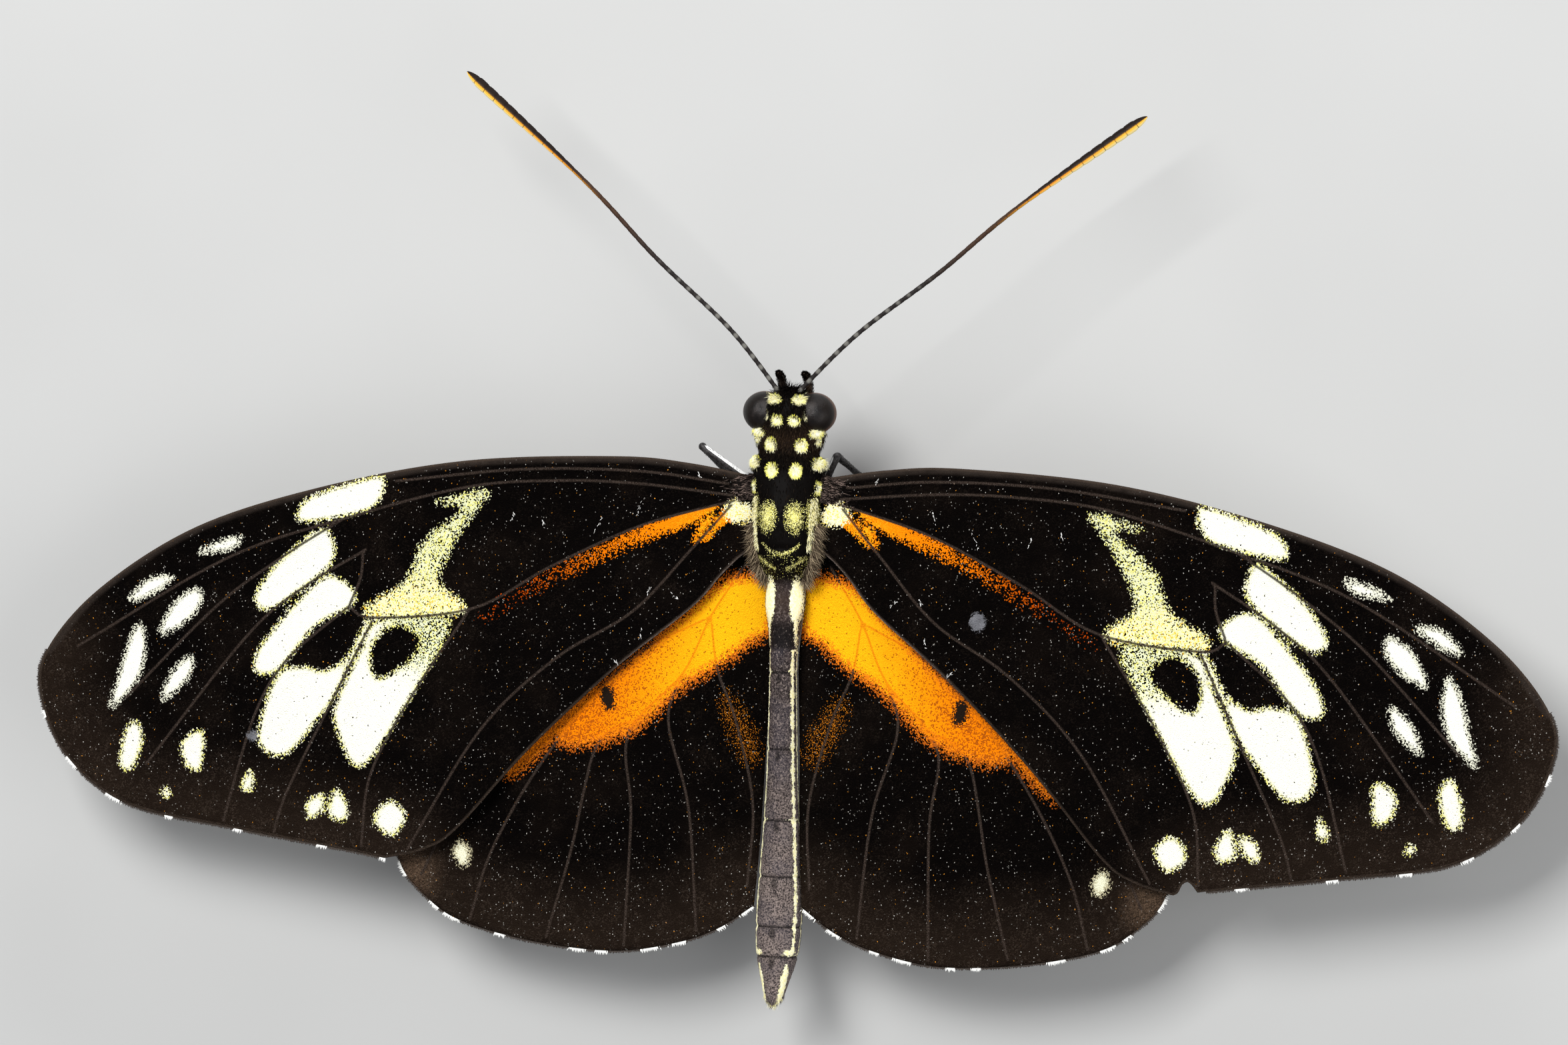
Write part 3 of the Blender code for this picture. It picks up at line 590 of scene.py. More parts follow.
def body_colour(finish):
    """The markings of head, thorax and abdomen, shared by the skin and its coat."""
    _, chance, second, third = finish.cells(11.0)
    black = finish.mix(finish.noise(0.9, 4.0), (0.0008, 0.0006, 0.0005), (0.004, 0.003, 0.0025))
    fine = finish.ramp(finish.noise(11.0, 3.0), 0.37, 0.63)
    rear = finish.ramp("rear", 0.2, 0.9)
    light = finish.mix(rear, (0.07, 0.054, 0.052), (0.24, 0.19, 0.17))
    velvet = finish.mix(fine, finish.mix(rear, (0.008, 0.006, 0.006), (0.03, 0.024, 0.023)), light)
    bloom = finish.ramp(finish.noise(0.5, 3.0), 0.4, 0.65, 0.0, 0.35)
    velvet = finish.mix(bloom, velvet, (0.05, 0.046, 0.06))
    velvet = finish.mix(finish.ramp(second, 0.82, 0.9, 0.0, 0.45), velvet, (0.3, 0.24, 0.21))
    finish.shown = finish.mix("abdomen", black, velvet)
    finish.paint(finish.ramp("blotch", 0.0, 1.0, 0.0, 0.9), (0.006, 0.005, 0.005))
    finish.paint("brown", (0.035, 0.02, 0.012))
    _, sprinkle, tone, _ = finish.cells(23.0)
    dust = finish.speckled(finish.math("SUBTRACT", "dust", 0.24), sprinkle, 0.6, 0.03)
    finish.paint(dust, finish.mix(tone, (0.55, 0.5, 0.08), (0.95, 0.9, 0.4)))
    cream = finish.speckled("cream", third, 0.12, 0.03)
    finish.paint(cream, finish.mix(chance, (0.96, 0.88, 0.42), (1.0, 0.97, 0.74)))


def skin_finish():
    finish = Finish("body_skin", 0.55, 0.04)
    finish.bump(finish.plus(finish.noise(5.0, 2.0), finish.noise(2.0, 4.0)), 0.02, 0.7)
    body_colour(finish)
    return finish.colour(finish.shown)


def coat_finish():
    finish = Finish("body_coat", 0.65, 0.01)
    body_colour(finish)
    finish.paint(finish.ramp("tip", 0.2, 1.0, 0.0, 0.02), (0.2, 0.17, 0.14))
    light = finish.mix("abdomen", (0.03, 0.021, 0.015), (0.36, 0.3, 0.26))
    light = finish.mix("brown", light, (0.2, 0.12, 0.06))
    light_hair = finish.times(finish.ramp("shade", 0.62, 1.0, 0.0, 0.4), finish.ramp("cream", 0.0, -0.1))
    finish.paint(light_hair, light)
    return finish.colour(finish.shown)


def tuft_finish():
    finish = Finish("pale_tuft", 0.6, 0.3)
    ray = finish.plus("ray", finish.times("shade", 0.5))
    pale = finish.mix(finish.ramp(ray, 0.5, 1.05), (1.0, 1.0, 0.86), (1.0, 0.95, 0.32))
    return finish.colour(finish.mix(finish.ramp(ray, 0.95, 1.4), pale, (0.9, 0.85, 0.09)))


def beige_finish():
    """Hair beside the wings: grey-beige at 0, pale cream at 1, purplish brown at 2."""
    finish = Finish("beige_hair", 0.6, 0.06)
    beige = finish.mix(finish.math("POWER", "shade", 2.5), (0.025, 0.015, 0.009), (0.5, 0.39, 0.25))
    cream = finish.mix("shade", (0.72, 0.64, 0.26), (1.0, 0.96, 0.66))
    brown = finish.mix(finish.math("POWER", "shade", 9.0), (0.004, 0.0025, 0.002), (0.5, 0.36, 0.3))
    pale = finish.mix(finish.ramp("tone", 0.4, 0.6), beige, cream)
    return finish.colour(finish.mix(finish.ramp("tone", 1.4, 1.6), pale, brown))


def eye_finish():
    """Dark brown, with a mottled grey painted reflection on the up-facing top, and a thin reddish brown
    girdle.
    """
    finish = Finish("eye", 0.3, 0.22)
    cell, chance, _, _ = finish.cells(24.0)
    dark = finish.mix(finish.noise(1.6, 3.0), (0.0025, 0.0015, 0.0012), (0.01, 0.006, 0.004))
    # Painted reflection: a mottled grey cloud laid over the part of each eye that faces up.
    reflection_mottle = finish.ramp(finish.noise(1.5, 5.0), 0.4, 0.65)
    painted_reflection = finish.mix(reflection_mottle, (0.005, 0.0035, 0.003), (0.022, 0.017, 0.015))
    shape = finish.plus("facing", finish.times(finish.noise(0.9, 3.0), 0.3))
    finish.shown = finish.mix(finish.ramp(shape, 0.94, 1.06), dark, painted_reflection)
    girdle = finish.times(finish.ramp("facing", 0.4, 0.15), finish.ramp(chance, 0.0, 1.0, 0.55, 1.0))
    finish.paint(girdle, (0.11, 0.038, 0.012))
    finish.bump(finish.times(cell, -8.0), 0.004, 0.4)
    return finish.colour(finish.shown)


def feeler_finish():
    finish = Finish("feeler_horn", 0.5, 0.08)
    grain = finish.noise(4.0, 3.0)
    black = finish.mix(grain, (0.006, 0.005, 0.005), (0.03, 0.025, 0.023))
    brown = finish.mix(grain, (0.03, 0.014, 0.008), (0.07, 0.036, 0.02))
    finish.shown = finish.mix(finish.ramp("run", 0.35, 0.6), black, brown)
    fleck = finish.times("fleck", finish.ramp("run", 0.6, 0.2))
    finish.paint(finish.ramp(fleck, 0.3, 0.9, 0.0, 0.5), (0.26, 0.25, 0.22))
    orange = finish.mix(finish.ramp("run", 0.7, 0.95), (0.8, 0.28, 0.02), (1.0, 0.5, 0.05))
    # The paler gold along the middle of the club's orange side is a painted highlight.
    painted_highlight_gold = finish.mix(finish.ramp("run", 0.68, 0.8), (1.0, 0.55, 0.06), (1.0, 0.82, 0.34))
    lit = finish.times(finish.ramp("under", -0.45, 0.0), finish.ramp("run", 0.56, 0.74))
    finish.paint(lit, finish.mix(finish.ramp("under", 0.0, 0.5), orange, painted_highlight_gold))
    dark_side = finish.times(finish.ramp("under", -0.3, -0.6), finish.ramp("run", 0.6, 0.72))
    finish.paint(dark_side, (0.012, 0.007, 0.005))
    finish.paint(finish.ramp("joint", 0.6, 0.95, 0.0, 0.8), (0.01, 0.007, 0.006))
    finish.bump(grain, 0.01, 0.5)
    return finish.colour(finish.shown)


def leg_finish():
    finish = Finish("leg_horn", 0.45, 0.25)
    grain = finish.noise(4.0, 4.0)
    dark = finish.mix(finish.ramp(grain, 0.3, 0.7), (0.006, 0.005, 0.005), (0.06, 0.056, 0.055))
    finish.bump(grain, 0.015, 0.7)
    return finish.colour(finish.mix(finish.ramp("pale", 0.35, 0.6), dark, (0.9, 0.9, 0.88)))


def horn_finish():
    finish = Finish("proboscis_horn", 0.35, 0.5)
    finish.bump(finish.noise(8.0, 2.0), 0.01, 0.6)
    return finish.colour(finish.mix(finish.noise(4.0, 3.0), (0.03, 0.018, 0.012), (0.12, 0.07, 0.04)))


# Wings

def forewing_height(x, y):
    span = x / WINGSPAN_HALF
    return FOREWING_LEVEL + 0.45 * np.sin(pi * span) + 0.04 * (y + 8.0) - 0.5 * span ** 3


def hindwing_height(x, y):
    return HINDWING_LEVEL + 0.3 * np.sin(pi * x / 24.0) + 0.035 * (y + 8.0)


def outward_of(line):
    """Unit vectors in plan, square to a margin and pointing away from the wing's middle."""
    along = np.gradient(line, axis=0)
    outward = unit(np.column_stack([-along[:, 1], along[:, 0]]))
    return outward * np.sign(np.sum(outward * (line - line.mean(axis=0)), axis=1))[:, None]


def wing_plan(outline, veins):
    """Points of a fine even net inside the outline, closer along the veins, and its triangles."""
    border = even_steps(np.vstack([outline, outline[:1]]), WING_PITCH * 0.8)[:-1]
    low = border.min(axis=0)
    high = border.max(axis=0)
    columns = np.arange(low[0], high[0], WING_PITCH)
    rows = np.arange(low[1], high[1], WING_PITCH * 0.866)
    x, y = np.meshgrid(columns, rows)
    x[1::2] += WING_PITCH / 2
    net = np.column_stack([x.ravel(), y.ravel()])
    strands = []
    for line in veins:
        along = np.gradient(line, axis=0)
        side = unit(np.column_stack([-along[:, 1], along[:, 0]]))
        strands += [line, line + side * VEIN_WIDTH, line - side * VEIN_WIDTH]
    near_vein = np.min([line_distance(net, line) for line in veins], axis=0)
    net = np.vstack([net[near_vein > VEIN_WIDTH * 2.0], *strands])
    closed = np.vstack([border, border[:1]])
    net = net[inside(net, border) & (line_distance(net, closed) > WING_PITCH * 0.45)]
    plan = [Vector(point) for point in np.vstack([border, net])]
    edges = [(i, (i + 1) % len(border)) for i in range(len(border))]
    spots, _, triangles, _, _, _ = delaunay_2d_cdt(plan, edges, [], 1, 0.001)
    return np.array([tuple(spot) for spot in spots]), [list(triangle) for triangle in triangles]


def wing_solid(name, mirror, outline, margin, veins, height, finish, marks):
    """A thin wing with raised veins: an upper and an under face alike in net, joined by a rim."""
    lines = [even_steps(smooth_curve(vein, 8), WING_PITCH) for vein in veins.values()]
    plan, triangles = wing_plan(outline, lines)
    rim = line_distance(plan, np.vstack([outline, outline[:1]]))
    vein = np.min([line_distance(plan, line) for line in lines], axis=0)
    ridge = VEIN_HEIGHT * np.exp(-(vein / (VEIN_WIDTH * 0.75)) ** 2) * np.clip(rim / 0.6, 0.15, 1)
    valley = 0.05 * np.cos(np.clip(vein, 0, 2.2) / 2.2 * pi)
    middle = height(plan[:, 0], plan[:, 1]) + valley * np.clip(rim / 1.5, 0, 1)
    half = WING_THICKNESS / 2 * np.clip(0.45 + rim / 0.5, 0, 1)
    upper = one_side(mirror, plan, middle + half + ridge)
    lower = one_side(mirror, plan, middle - half - ridge)
    count = len(plan)
    used = {(a, b) for triangle in triangles for a, b in zip(triangle, triangle[1:] + triangle[:1])}
    faces = list(triangles) + [[count + i for i in reversed(triangle)] for triangle in triangles]
    faces += [[b, a, count + a, count + b] for a, b in used if (b, a) not in used]
    if mirror < 0:
        faces = [list(reversed(face)) for face in faces]
    edge = even_steps(margin, MARGIN_DOT_PITCH)
    dots = edge - outward_of(edge) * MARGIN_DOT_INSET
    values = {"vein": vein, "rim": rim, "margin": line_distance(plan, margin), **marks(plan)}
    values["dots"] = np.min([np.linalg.norm(plan - dot, axis=1) for dot in dots], axis=0)
    values = {key: np.concatenate([value, value]) for key, value in values.items()}
    values["under"] = np.repeat([0.0, 1.0], count)
    made = add_mesh(name, np.vstack([upper, lower]), faces, finish, values)
    flat = (plan - plan.min(axis=0)) / np.ptp(plan, axis=0) * np.array([1.0, 0.485])
    bake_map(made, np.vstack([flat, flat + np.array([0.0, 0.515])]))
    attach(made, "root")
    return made


def forewing_marks(plan, mote):
    cream = np.minimum(depth_in(plan, CREAM_SHAPES), -depth_in(plan, HOLE_SHAPES))
    vein = np.array(FOREWING_VEINS["cubitus"])
    return {"cream": cream, "grey": depth_in(plan, GREY_SHAPES), "dust": depth_in(plan, DUST_SHAPES),
            "streak": depth_in(plan, STREAK_SHAPES), "out": plan[:, 0], "back": -plan[:, 1],
            "below": np.interp(plan[:, 0], vein[:, 0], vein[:, 1]) - plan[:, 1],
            "costa": line_distance(plan, smooth_curve(FOREWING_LEADING[:8], 6)),
            "mote": oval_depth(plan, mote),
            "red": depth_in(plan, FOREWING_RED)}


def hindwing_marks(plan):
    return {"band": depth_in(plan, BAND_SHAPES), "smudge": depth_in(plan, SMUDGE_SHAPES),
            "cream": depth_in(plan, HINDWING_DOT), "ember": depth_in(plan, EMBER_SHAPES),
            "corner": depth_in(plan, CORNER_SHAPES), "red": depth_in(plan, HINDWING_RED), "out": plan[:, 0]}


def fringe(name, mirror, margin, height, dashes, finish):
    """Short flat scales along the outer margin, white in dashes between the vein ends."""
    line = even_steps(margin, FRINGE_PITCH)
    count = len(line)
    roots = one_side(mirror, line, height(line[:, 0], line[:, 1]))
    sway = spray(count, 0.2, 0.4)
    directions = one_side(mirror, outward_of(line), 0.0) + sway
    reaches = DASH_REACH * rng.uniform(0.55, 1.25, len(dashes))
    ways = [np.linalg.norm(line - dash, axis=1) / reach for dash, reach in zip(dashes, reaches)]
    dash = np.min(ways, axis=0) + rng.normal(0, 0.15, count) < 1
    lengths = FRINGE_LENGTH * rng.uniform(0.5, 1.15, count) * np.where(dash, 1.1, 0.75)
    uv = np.column_stack([np.linspace(0.02, 0.97, count), np.full(count, 0.5)])
    return hairs(name, roots, directions, UP, lengths, FRINGE_WIDTH, finish, {"dash": dash}, uv)


def flecks(name, mirror, finish):
    """A few loose pale scales lying in short curls on the forewing."""
    roots = []
    ways = []
    for start, end in PALE_FLECKS:
        run = np.array(end) - np.array(start)
        roots.append(np.array(start) + rng.uniform(0, 1, (9, 1)) * run + rng.normal(0, 0.025, (9, 2)))
        ways.append(np.tile(run / np.linalg.norm(run), (9, 1)))
    roots = np.vstack(roots)
    count = len(roots)
    top = forewing_height(roots[:, 0], roots[:, 1]) + WING_THICKNESS / 2 + 0.07
    roots = one_side(mirror, roots, top)
    directions = one_side(mirror, np.vstack(ways), 0.0) + spray(count, 0.4, 0.05)
    uv = np.column_stack([np.abs(roots[:, 0]) / 47, 0.45 + roots[:, 1] / 60])
    lengths = rng.uniform(0.08, 0.2, count)
    return hairs(name, roots, directions, UP, lengths, 0.03, finish, {"shade": rng.random(count)}, uv)


def add_wings():
    fore_finish = forewing_finish()
    hind_finish = hindwing_finish()
    rim_finish = fringe_finish()
    loose_finish = fleck_finish()
    for side, mirror in SIDES:
        leading = smooth_curve(FOREWING_LEADING, 10)
        margin = leading[70:]
        if side == "right":
            leading = np.vstack([leading[:-9], FOREWING_BITE, leading[-1:]])
            margin = leading[70:-6]
        outline = np.vstack([leading, smooth_curve(FOREWING_HIND, 10)[1:]])
        made = wing_solid("forewing_skin_" + side, mirror, outline, margin, FOREWING_VEINS, forewing_height,
                          fore_finish, lambda plan: forewing_marks(plan, MOTES[side]))
        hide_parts("forewing_" + side)
        made = fringe("forewing_fringe_" + side, mirror, margin, forewing_height, FOREWING_DASHES, rim_finish)
        made = flecks("forewing_flecks_" + side, mirror, loose_finish)
        costal = smooth_curve(HINDWING_COSTAL, 10)
        margin = costal[55:]
        outline = np.vstack([costal, smooth_curve(HINDWING_INNER, 10)[1:]])
        made = wing_solid("hindwing_skin_" + side, mirror, outline, margin, HINDWING_VEINS, hindwing_height,
                          hind_finish, hindwing_marks)
        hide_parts("hindwing_" + side)
        made = fringe("hindwing_fringe_" + side, mirror, margin, hindwing_height, HINDWING_DASHES, rim_finish)


# Body

def body_station(y):
    """Half width, centre height and half height of the body at places along Y."""
    table = smooth_curve(BODY_SECTIONS, 6)[::-1]
    return [np.interp(y, table[:, 0], table[:, k]) for k in (1, 2, 3)]


def corner_power(y):
    """How square the cross-section is: 1 for an oval, less for the boxy top of the head."""
    return 1 - HEAD_SQUARENESS * np.exp(-((y - 6.7) / 1.1) ** 4)


def body_point(y, angle):
    """The skin's point at a place along Y and an angle from the top, with its folds and grooves."""
    half_width, level, half_height = body_station(y)
    power = corner_power(y)
    across = np.sign(np.sin(angle)) * np.abs(np.sin(angle)) ** power
    upward = np.sign(np.cos(angle)) * np.abs(np.cos(angle)) ** power
    joints = sum(0.05 * np.exp(-((y - joint) / 0.13) ** 2) for joint in ABDOMEN_JOINTS)
    top = np.clip(np.cos(angle), 0, 1)
    on_back = np.exp(-((y - 0.6) / 2.0) ** 4)
    groove = 0.035 * on_back * top * np.exp(-(np.sin(angle) / 0.08) ** 2)
    shield = 0.05 * np.exp(-((y + 1.55) / 0.16) ** 2) * top ** 2
    swell = 1 - joints - groove - shield
    x = half_width * swell * across
    z = level + half_height * swell * upward
    return np.stack([x, np.broadcast_to(y, x.shape), z], axis=-1)


def body_marks(points, angle):
    """Depth inside each of the body's markings, from the same named shapes for skin and coat."""
    y = points[:, 1]
    x = np.abs(points[:, 0])
    top = np.cos(angle) > -0.15
    rolled = angle + ABDOMEN_ROLL
    turn = np.abs(rolled)
    half_width = body_station(y)[0]
    spots = [oval_depth(points, spot) for spot in (*BODY_SPOTS.values(), ABDOMEN_PATCH)]
    spots = np.where(top, np.max(spots, axis=0), -1.0)
    taper = 0.12 - 0.05 * (-y - 5.5) - np.abs(x - 0.8)
    taper = np.where((y < -5.4) & (y > -8.0), taper, -1.0)
    on_segments = (y < -7.6) & (y > -26.0)
    patchy = 0.035 * np.sin(y * 4.1) + 0.03 * np.sin(y * 9.7)
    upper_line = 0.12 + patchy - np.abs(turn - radians(60)) * half_width
    outer_line = 0.07 + 0.4 * patchy - np.abs(turn - radians(91)) * half_width
    lines = np.where(on_segments, np.maximum(upper_line, outer_line), -1.0)
    segment_rims = 0.05 - np.min([np.abs(y - joint - 0.08) for joint in PALE_RIMS], axis=0)
    segment_rims -= 0.12 * np.clip(1.5 - turn / radians(36), 0, 1)
    segment_rims = np.where(on_segments & (turn < radians(95)), segment_rims, -1.0)
    stripe_centre = np.interp(-y, [26.6, 29.2], [0.85, 1.15])
    stripe_width = np.interp(-y, [26.6, 27.2, 29.2], [0.1, 0.25, 0.2])
    tail_stripe = stripe_width - np.abs(turn - stripe_centre) * half_width
    tail_stripe = np.where(y < -26.5, tail_stripe, -1.0)
    tail_patch = oval_depth(np.column_stack([rolled * half_width, y]), TAIL_PATCH)
    cream = np.max([spots, taper, lines, segment_rims, tail_stripe, tail_patch], axis=0)
    arc = np.where(x < 1.2, 0.38 - np.abs(y + 1.88 - 0.5 * x ** 2) * 2.6, -1.0)
    vee = np.where((x < 1.45) & (x > 0.3), 0.38 - np.abs(y + 3.0 - 0.64 * x) * 2.6, -1.0)
    scattered = np.where((y < -1.95) & (y > -3.4), 0.04 * x - 0.05, -1.0)
    ovals = [oval_depth(points, DUSTED_PATCH), oval_depth(points, LATERAL_EDGE)]
    dust = np.where(top, np.max([*ovals, arc, vee, scattered], axis=0), -1.0)
    abdomen = np.clip((-y - 3.3) / 0.8, 0, 1)
    blotch = np.zeros(len(points))
    for joint in ABDOMEN_JOINTS[1:]:
        band = np.exp(-((y - joint) / 0.09) ** 2) * 0.95
        reach = np.hypot((y - joint + 0.35) / 0.5, rolled / 0.22)
        blotch = np.max([blotch, band, np.clip(1.2 - reach, 0, 0.7)], axis=0)
    saddle = np.exp(-((y + 6.75) / 0.9) ** 4) * np.clip(np.cos(angle) * 3 - 1.2, 0, 1)
    blotch = np.maximum(blotch, saddle)
    brown = 0.4 * np.exp(-((y - 5.1) / 0.7) ** 2) + 0.7 * np.exp(-((y + 4.7) / 1.0) ** 2)
    return {"cream": cream, "dust": dust, "abdomen": abdomen, "blotch": blotch, "brown": np.clip(brown, 0, 1),
            "rear": np.clip(-y / 29, 0, 1)}


def add_skin():
    y = np.linspace(BODY_SECTIONS[0][0], BODY_SECTIONS[-1][0], BODY_RINGS)[::-1]
    angle = tau * np.arange(BODY_SIDES) / BODY_SIDES
    places, turns = np.meshgrid(y, angle, indexing="ij")
    points = body_point(places, turns).reshape(-1, 3)
    turns = (turns.ravel() + pi) % tau - pi
    made = add_mesh("body_skin", points, ring_faces(BODY_RINGS, BODY_SIDES), skin_finish(),
                    body_marks(points, turns))
    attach(made, "root")
    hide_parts("head", "neck", "thorax", "abdomen")


def body_roots(y, angle):
    """Places on the body's skin, with the way back along it and the way out of it at each."""
    roots = body_point(y, angle)
    back = unit(body_point(y - 0.05, angle) - roots)
    normals = np.cross(unit(body_point(y, angle + 0.02) - roots), back)
    outward = np.column_stack([np.sin(angle), np.zeros(len(y)), np.cos(angle)])
    return roots, back, normals * np.sign(np.sum(normals * outward, axis=1))[:, None]


def body_uv(y, angle):
    return np.column_stack([(angle / tau) % 1 * 0.99, (8.2 - y) / 37.5])


def coat(name, finish, count, y_range, length, width, lean, keep=None, raggedness=0.25):
    """Hairs over a stretch of the body, lying back along it and lifted by their lean."""
    y = rng.uniform(*y_range, count * 4)
    angle = rng.uniform(-pi, pi, count * 4)
    if keep is not None:
        chosen = keep(y, angle)
        y = y[chosen]
        angle = angle[chosen]
    y = y[:count]
    angle = angle[:count]
    count = len(y)
    roots, back, normals = body_roots(y, angle)
    directions = back + normals * lean + spray(count, raggedness)
    marks = {**body_marks(roots, angle), "shade": rng.random(count), "ray": 1.5}
    lengths = length * rng.uniform(0.55, 1.15, count)
    widths = width * rng.uniform(0.7, 1.2, count)
    made = hairs(name, roots - normals * 0.03, directions, normals, lengths, widths, finish, marks,
                 body_uv(y, angle))


def dusted(y, angle):
    """Where the pale scales of the thorax lie, thinning out at the edges of each marking."""
    depth = body_marks(body_point(y, angle), angle)["dust"]
    return depth + rng.uniform(-0.5, 0.06, len(y)) > 0


def add_coats():
    finish = coat_finish()
    coat("head_coat", finish, 8000, (5.0, 8.1), 0.34, 0.045, 0.8,
         keep=lambda y, angle: (np.abs(np.sin(angle)) < 0.97) | (y < 5.7))
    coat("face_hair", finish, 520, (7.35, 8.1), 0.62, 0.035, 1.7, raggedness=0.5)
    coat("neck_coat", finish, 6500, (3.2, 5.2), 0.4, 0.045, 0.5)
    coat("thorax_coat", finish, 9000, (-3.3, 3.4), 0.3, 0.045, 0.22,
         keep=lambda y, angle: (np.cos(angle) < 0.35) | (rng.random(len(y)) < 0.3))
    for part, count, stretch in (("front", 15000, (-16.0, -3.4)), ("back", 17000, (-29.0, -16.0))):
        coat("abdomen_coat_" + part, finish, count, stretch, 0.17, 0.05, 0.1,
             raggedness=0.14)
    coat("tail_coat", finish, 500, (-29.0, -28.3), 0.4, 0.035, 0.25)
    pale = tuft_finish()
    coat("thorax_scales", pale, 2600, (-3.2, 1.8), 0.1, 0.034, 0.1,
         keep=lambda y, angle: (np.abs(angle) < 1.3) & dusted(y, angle))
    add_tufts(pale)


def add_tufts(finish):
    """Brushes of pale hair spread from the middle of each spot on head and thorax."""
    for side, mirror in SIDES:
        places = []
        radial = []
        for x, y, half_width, half_length in [*BODY_SPOTS.values(), WING_TUFT]:
            count = int(2600 * half_width * half_length) + 60
            reach = np.sqrt(rng.random(count))[:, None]
            turn = rng.uniform(0, tau, count)
            spread = np.column_stack([np.cos(turn), np.sin(turn)])
            places.append([x, y] + spread * reach * [half_width * 0.85, half_length * 0.85])
            radial.append(spread * reach)
        places = np.vstack(places)
        radial = np.vstack(radial)
        half = body_station(places[:, 1])[0]
        share = np.clip(places[:, 0] / half, 0, 0.97) ** (1 / corner_power(places[:, 1]))
        angle = mirror * np.arcsin(share)
        roots, back, normals = body_roots(places[:, 1], angle)
        outward = one_side(mirror, radial, 0.0)
        count = len(roots)
        directions = outward * 1.1 + back * 0.35 + normals * 0.55 + spray(count, 0.16)
        lengths = rng.uniform(0.14, 0.3, count)
        widths = rng.uniform(0.035, 0.055, count)
        marks = {"shade": rng.random(count), "ray": np.linalg.norm(radial, axis=1)}
        made = hairs("pale_tufts_" + side, roots - normals * 0.02, directions, normals, lengths, widths,
                     finish, marks, body_uv(places[:, 1], angle))


SIDE_HAIR = {
    "flank": {"count": 1300, "y": (-3.4, 0.1), "angle": (1.15, 1.55), "way": (0.42, -1.0, -0.02), "tone": 0,
              "length": (0.25, 1.1), "width": 0.025, "spread": 0.42},
    "edge": {"count": 1200, "y": (-1.6, 1.6), "angle": (0.92, 1.34), "way": (0.1, -1.0, 0.0), "tone": 1,
             "length": (0.12, 0.34), "width": 0.032, "spread": 0.32},
}
TEGULA = {"count": 2800, "nearest": 1.75, "reach": 0.65, "y": (1.4, 2.9), "length": (0.15, 0.5)}


def add_side_hair():
    """Long hair beside the wing bases, brushed back over them, and the brown hair on the wing roots."""
    finish = beige_finish()
    for side, mirror in SIDES:
        for kind, given in SIDE_HAIR.items():
            count = given["count"]
            y = rng.uniform(*given["y"], count)
            angle = mirror * rng.uniform(*given["angle"], count)
            roots, _, normals = body_roots(y, angle)
            directions = np.array(given["way"]) * [mirror, 1, 1] + spray(count, given["spread"], 0.4)
            lengths = rng.uniform(*given["length"], count)
            marks = {"shade": rng.random(count), "tone": given["tone"]}
            made = hairs("wing_base_" + kind + "_" + side, roots - normals * 0.03, directions, UP, lengths,
                         given["width"], finish, marks, body_uv(y, angle))
        count = TEGULA["count"]
        x = TEGULA["nearest"] + np.abs(rng.normal(0, TEGULA["reach"], count))
        y = rng.uniform(*TEGULA["y"], count) - 0.2 * (x - TEGULA["nearest"])
        z = np.where(x < 2.1, 9.6, forewing_height(x, y) + WING_THICKNESS / 2 + 0.02)
        directions = np.array([mirror * 1.0, -0.12, 0.14]) + spray(count, 0.28, 0.3)
        lengths = rng.uniform(*TEGULA["length"], count)
        marks = {"shade": rng.random(count), "tone": 2.0}
        made = hairs("wing_root_hair_" + side, np.column_stack([mirror * x, y, z]), directions, UP, lengths,
                     0.02, finish, marks, np.column_stack([x / 6, 0.5 + y / 10]))


def add_eyes():
    finish = eye_finish()
    rings = 36
    sides = 72
    climb = np.linspace(-0.7, pi / 2 * 0.985, rings)
    lift, turn = np.meshgrid(climb, tau * np.arange(sides) / sides, indexing="ij")
    facing = (np.cos(lift) * np.sin(turn)).ravel()
    ball = np.column_stack([np.sin(lift).ravel(), (np.cos(lift) * np.cos(turn)).ravel(), facing])
    for side, mirror in SIDES:
        points = (EYE_CENTRE + ball * EYE_RADII) * [mirror, 1, 1]
        faces = ring_faces(rings, sides)
        if mirror < 0:
            faces = [list(reversed(face)) for face in faces]
        made = add_mesh("eye_lens_" + side, points, faces, finish, {"facing": facing})
        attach(made, "root")
        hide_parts("eye_" + side)


def add_feelers():
    finish = feeler_finish()
    sides = 16
    for side, mirror in SIDES:
        line = even_steps(smooth_curve(FEELERS[side], 16), 0.07)
        run = np.linspace(0, 1, len(line))
        club = np.clip((run - 0.66) / 0.34, 0, 1)
        club = np.sin(np.clip(club * 1.15, 0, 1) * pi / 2) ** 1.3
        radius = SHAFT_RADIUS + (CLUB_RADIUS - SHAFT_RADIUS) * club
        radius *= np.sqrt(np.clip((1 - run) / 0.035, 0.02, 1))
        phase = (run * FEELER_JOINTS) % 1
        joint = np.exp(-(np.minimum(phase, 1 - phase) / 0.09) ** 2)
        radius *= 1 - 0.1 * joint + 0.03 * np.sin(phase * pi)
        angle = np.tile(ring_angles(sides), len(line))
        under = mirror * np.sin(angle) * 0.85 - np.cos(angle) * 0.45
        fleck = np.repeat(np.exp(-((phase - 0.5) / 0.26) ** 2), sides) * (0.5 + 0.5 * np.cos(angle))
        values = {"run": np.repeat(run, sides), "joint": np.repeat(joint, sides), "under": under,
                  "fleck": fleck}
        made = add_tube("feeler_" + side, line, radius, sides, finish, values)
        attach(made, "root")
        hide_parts("antenna_" + side)


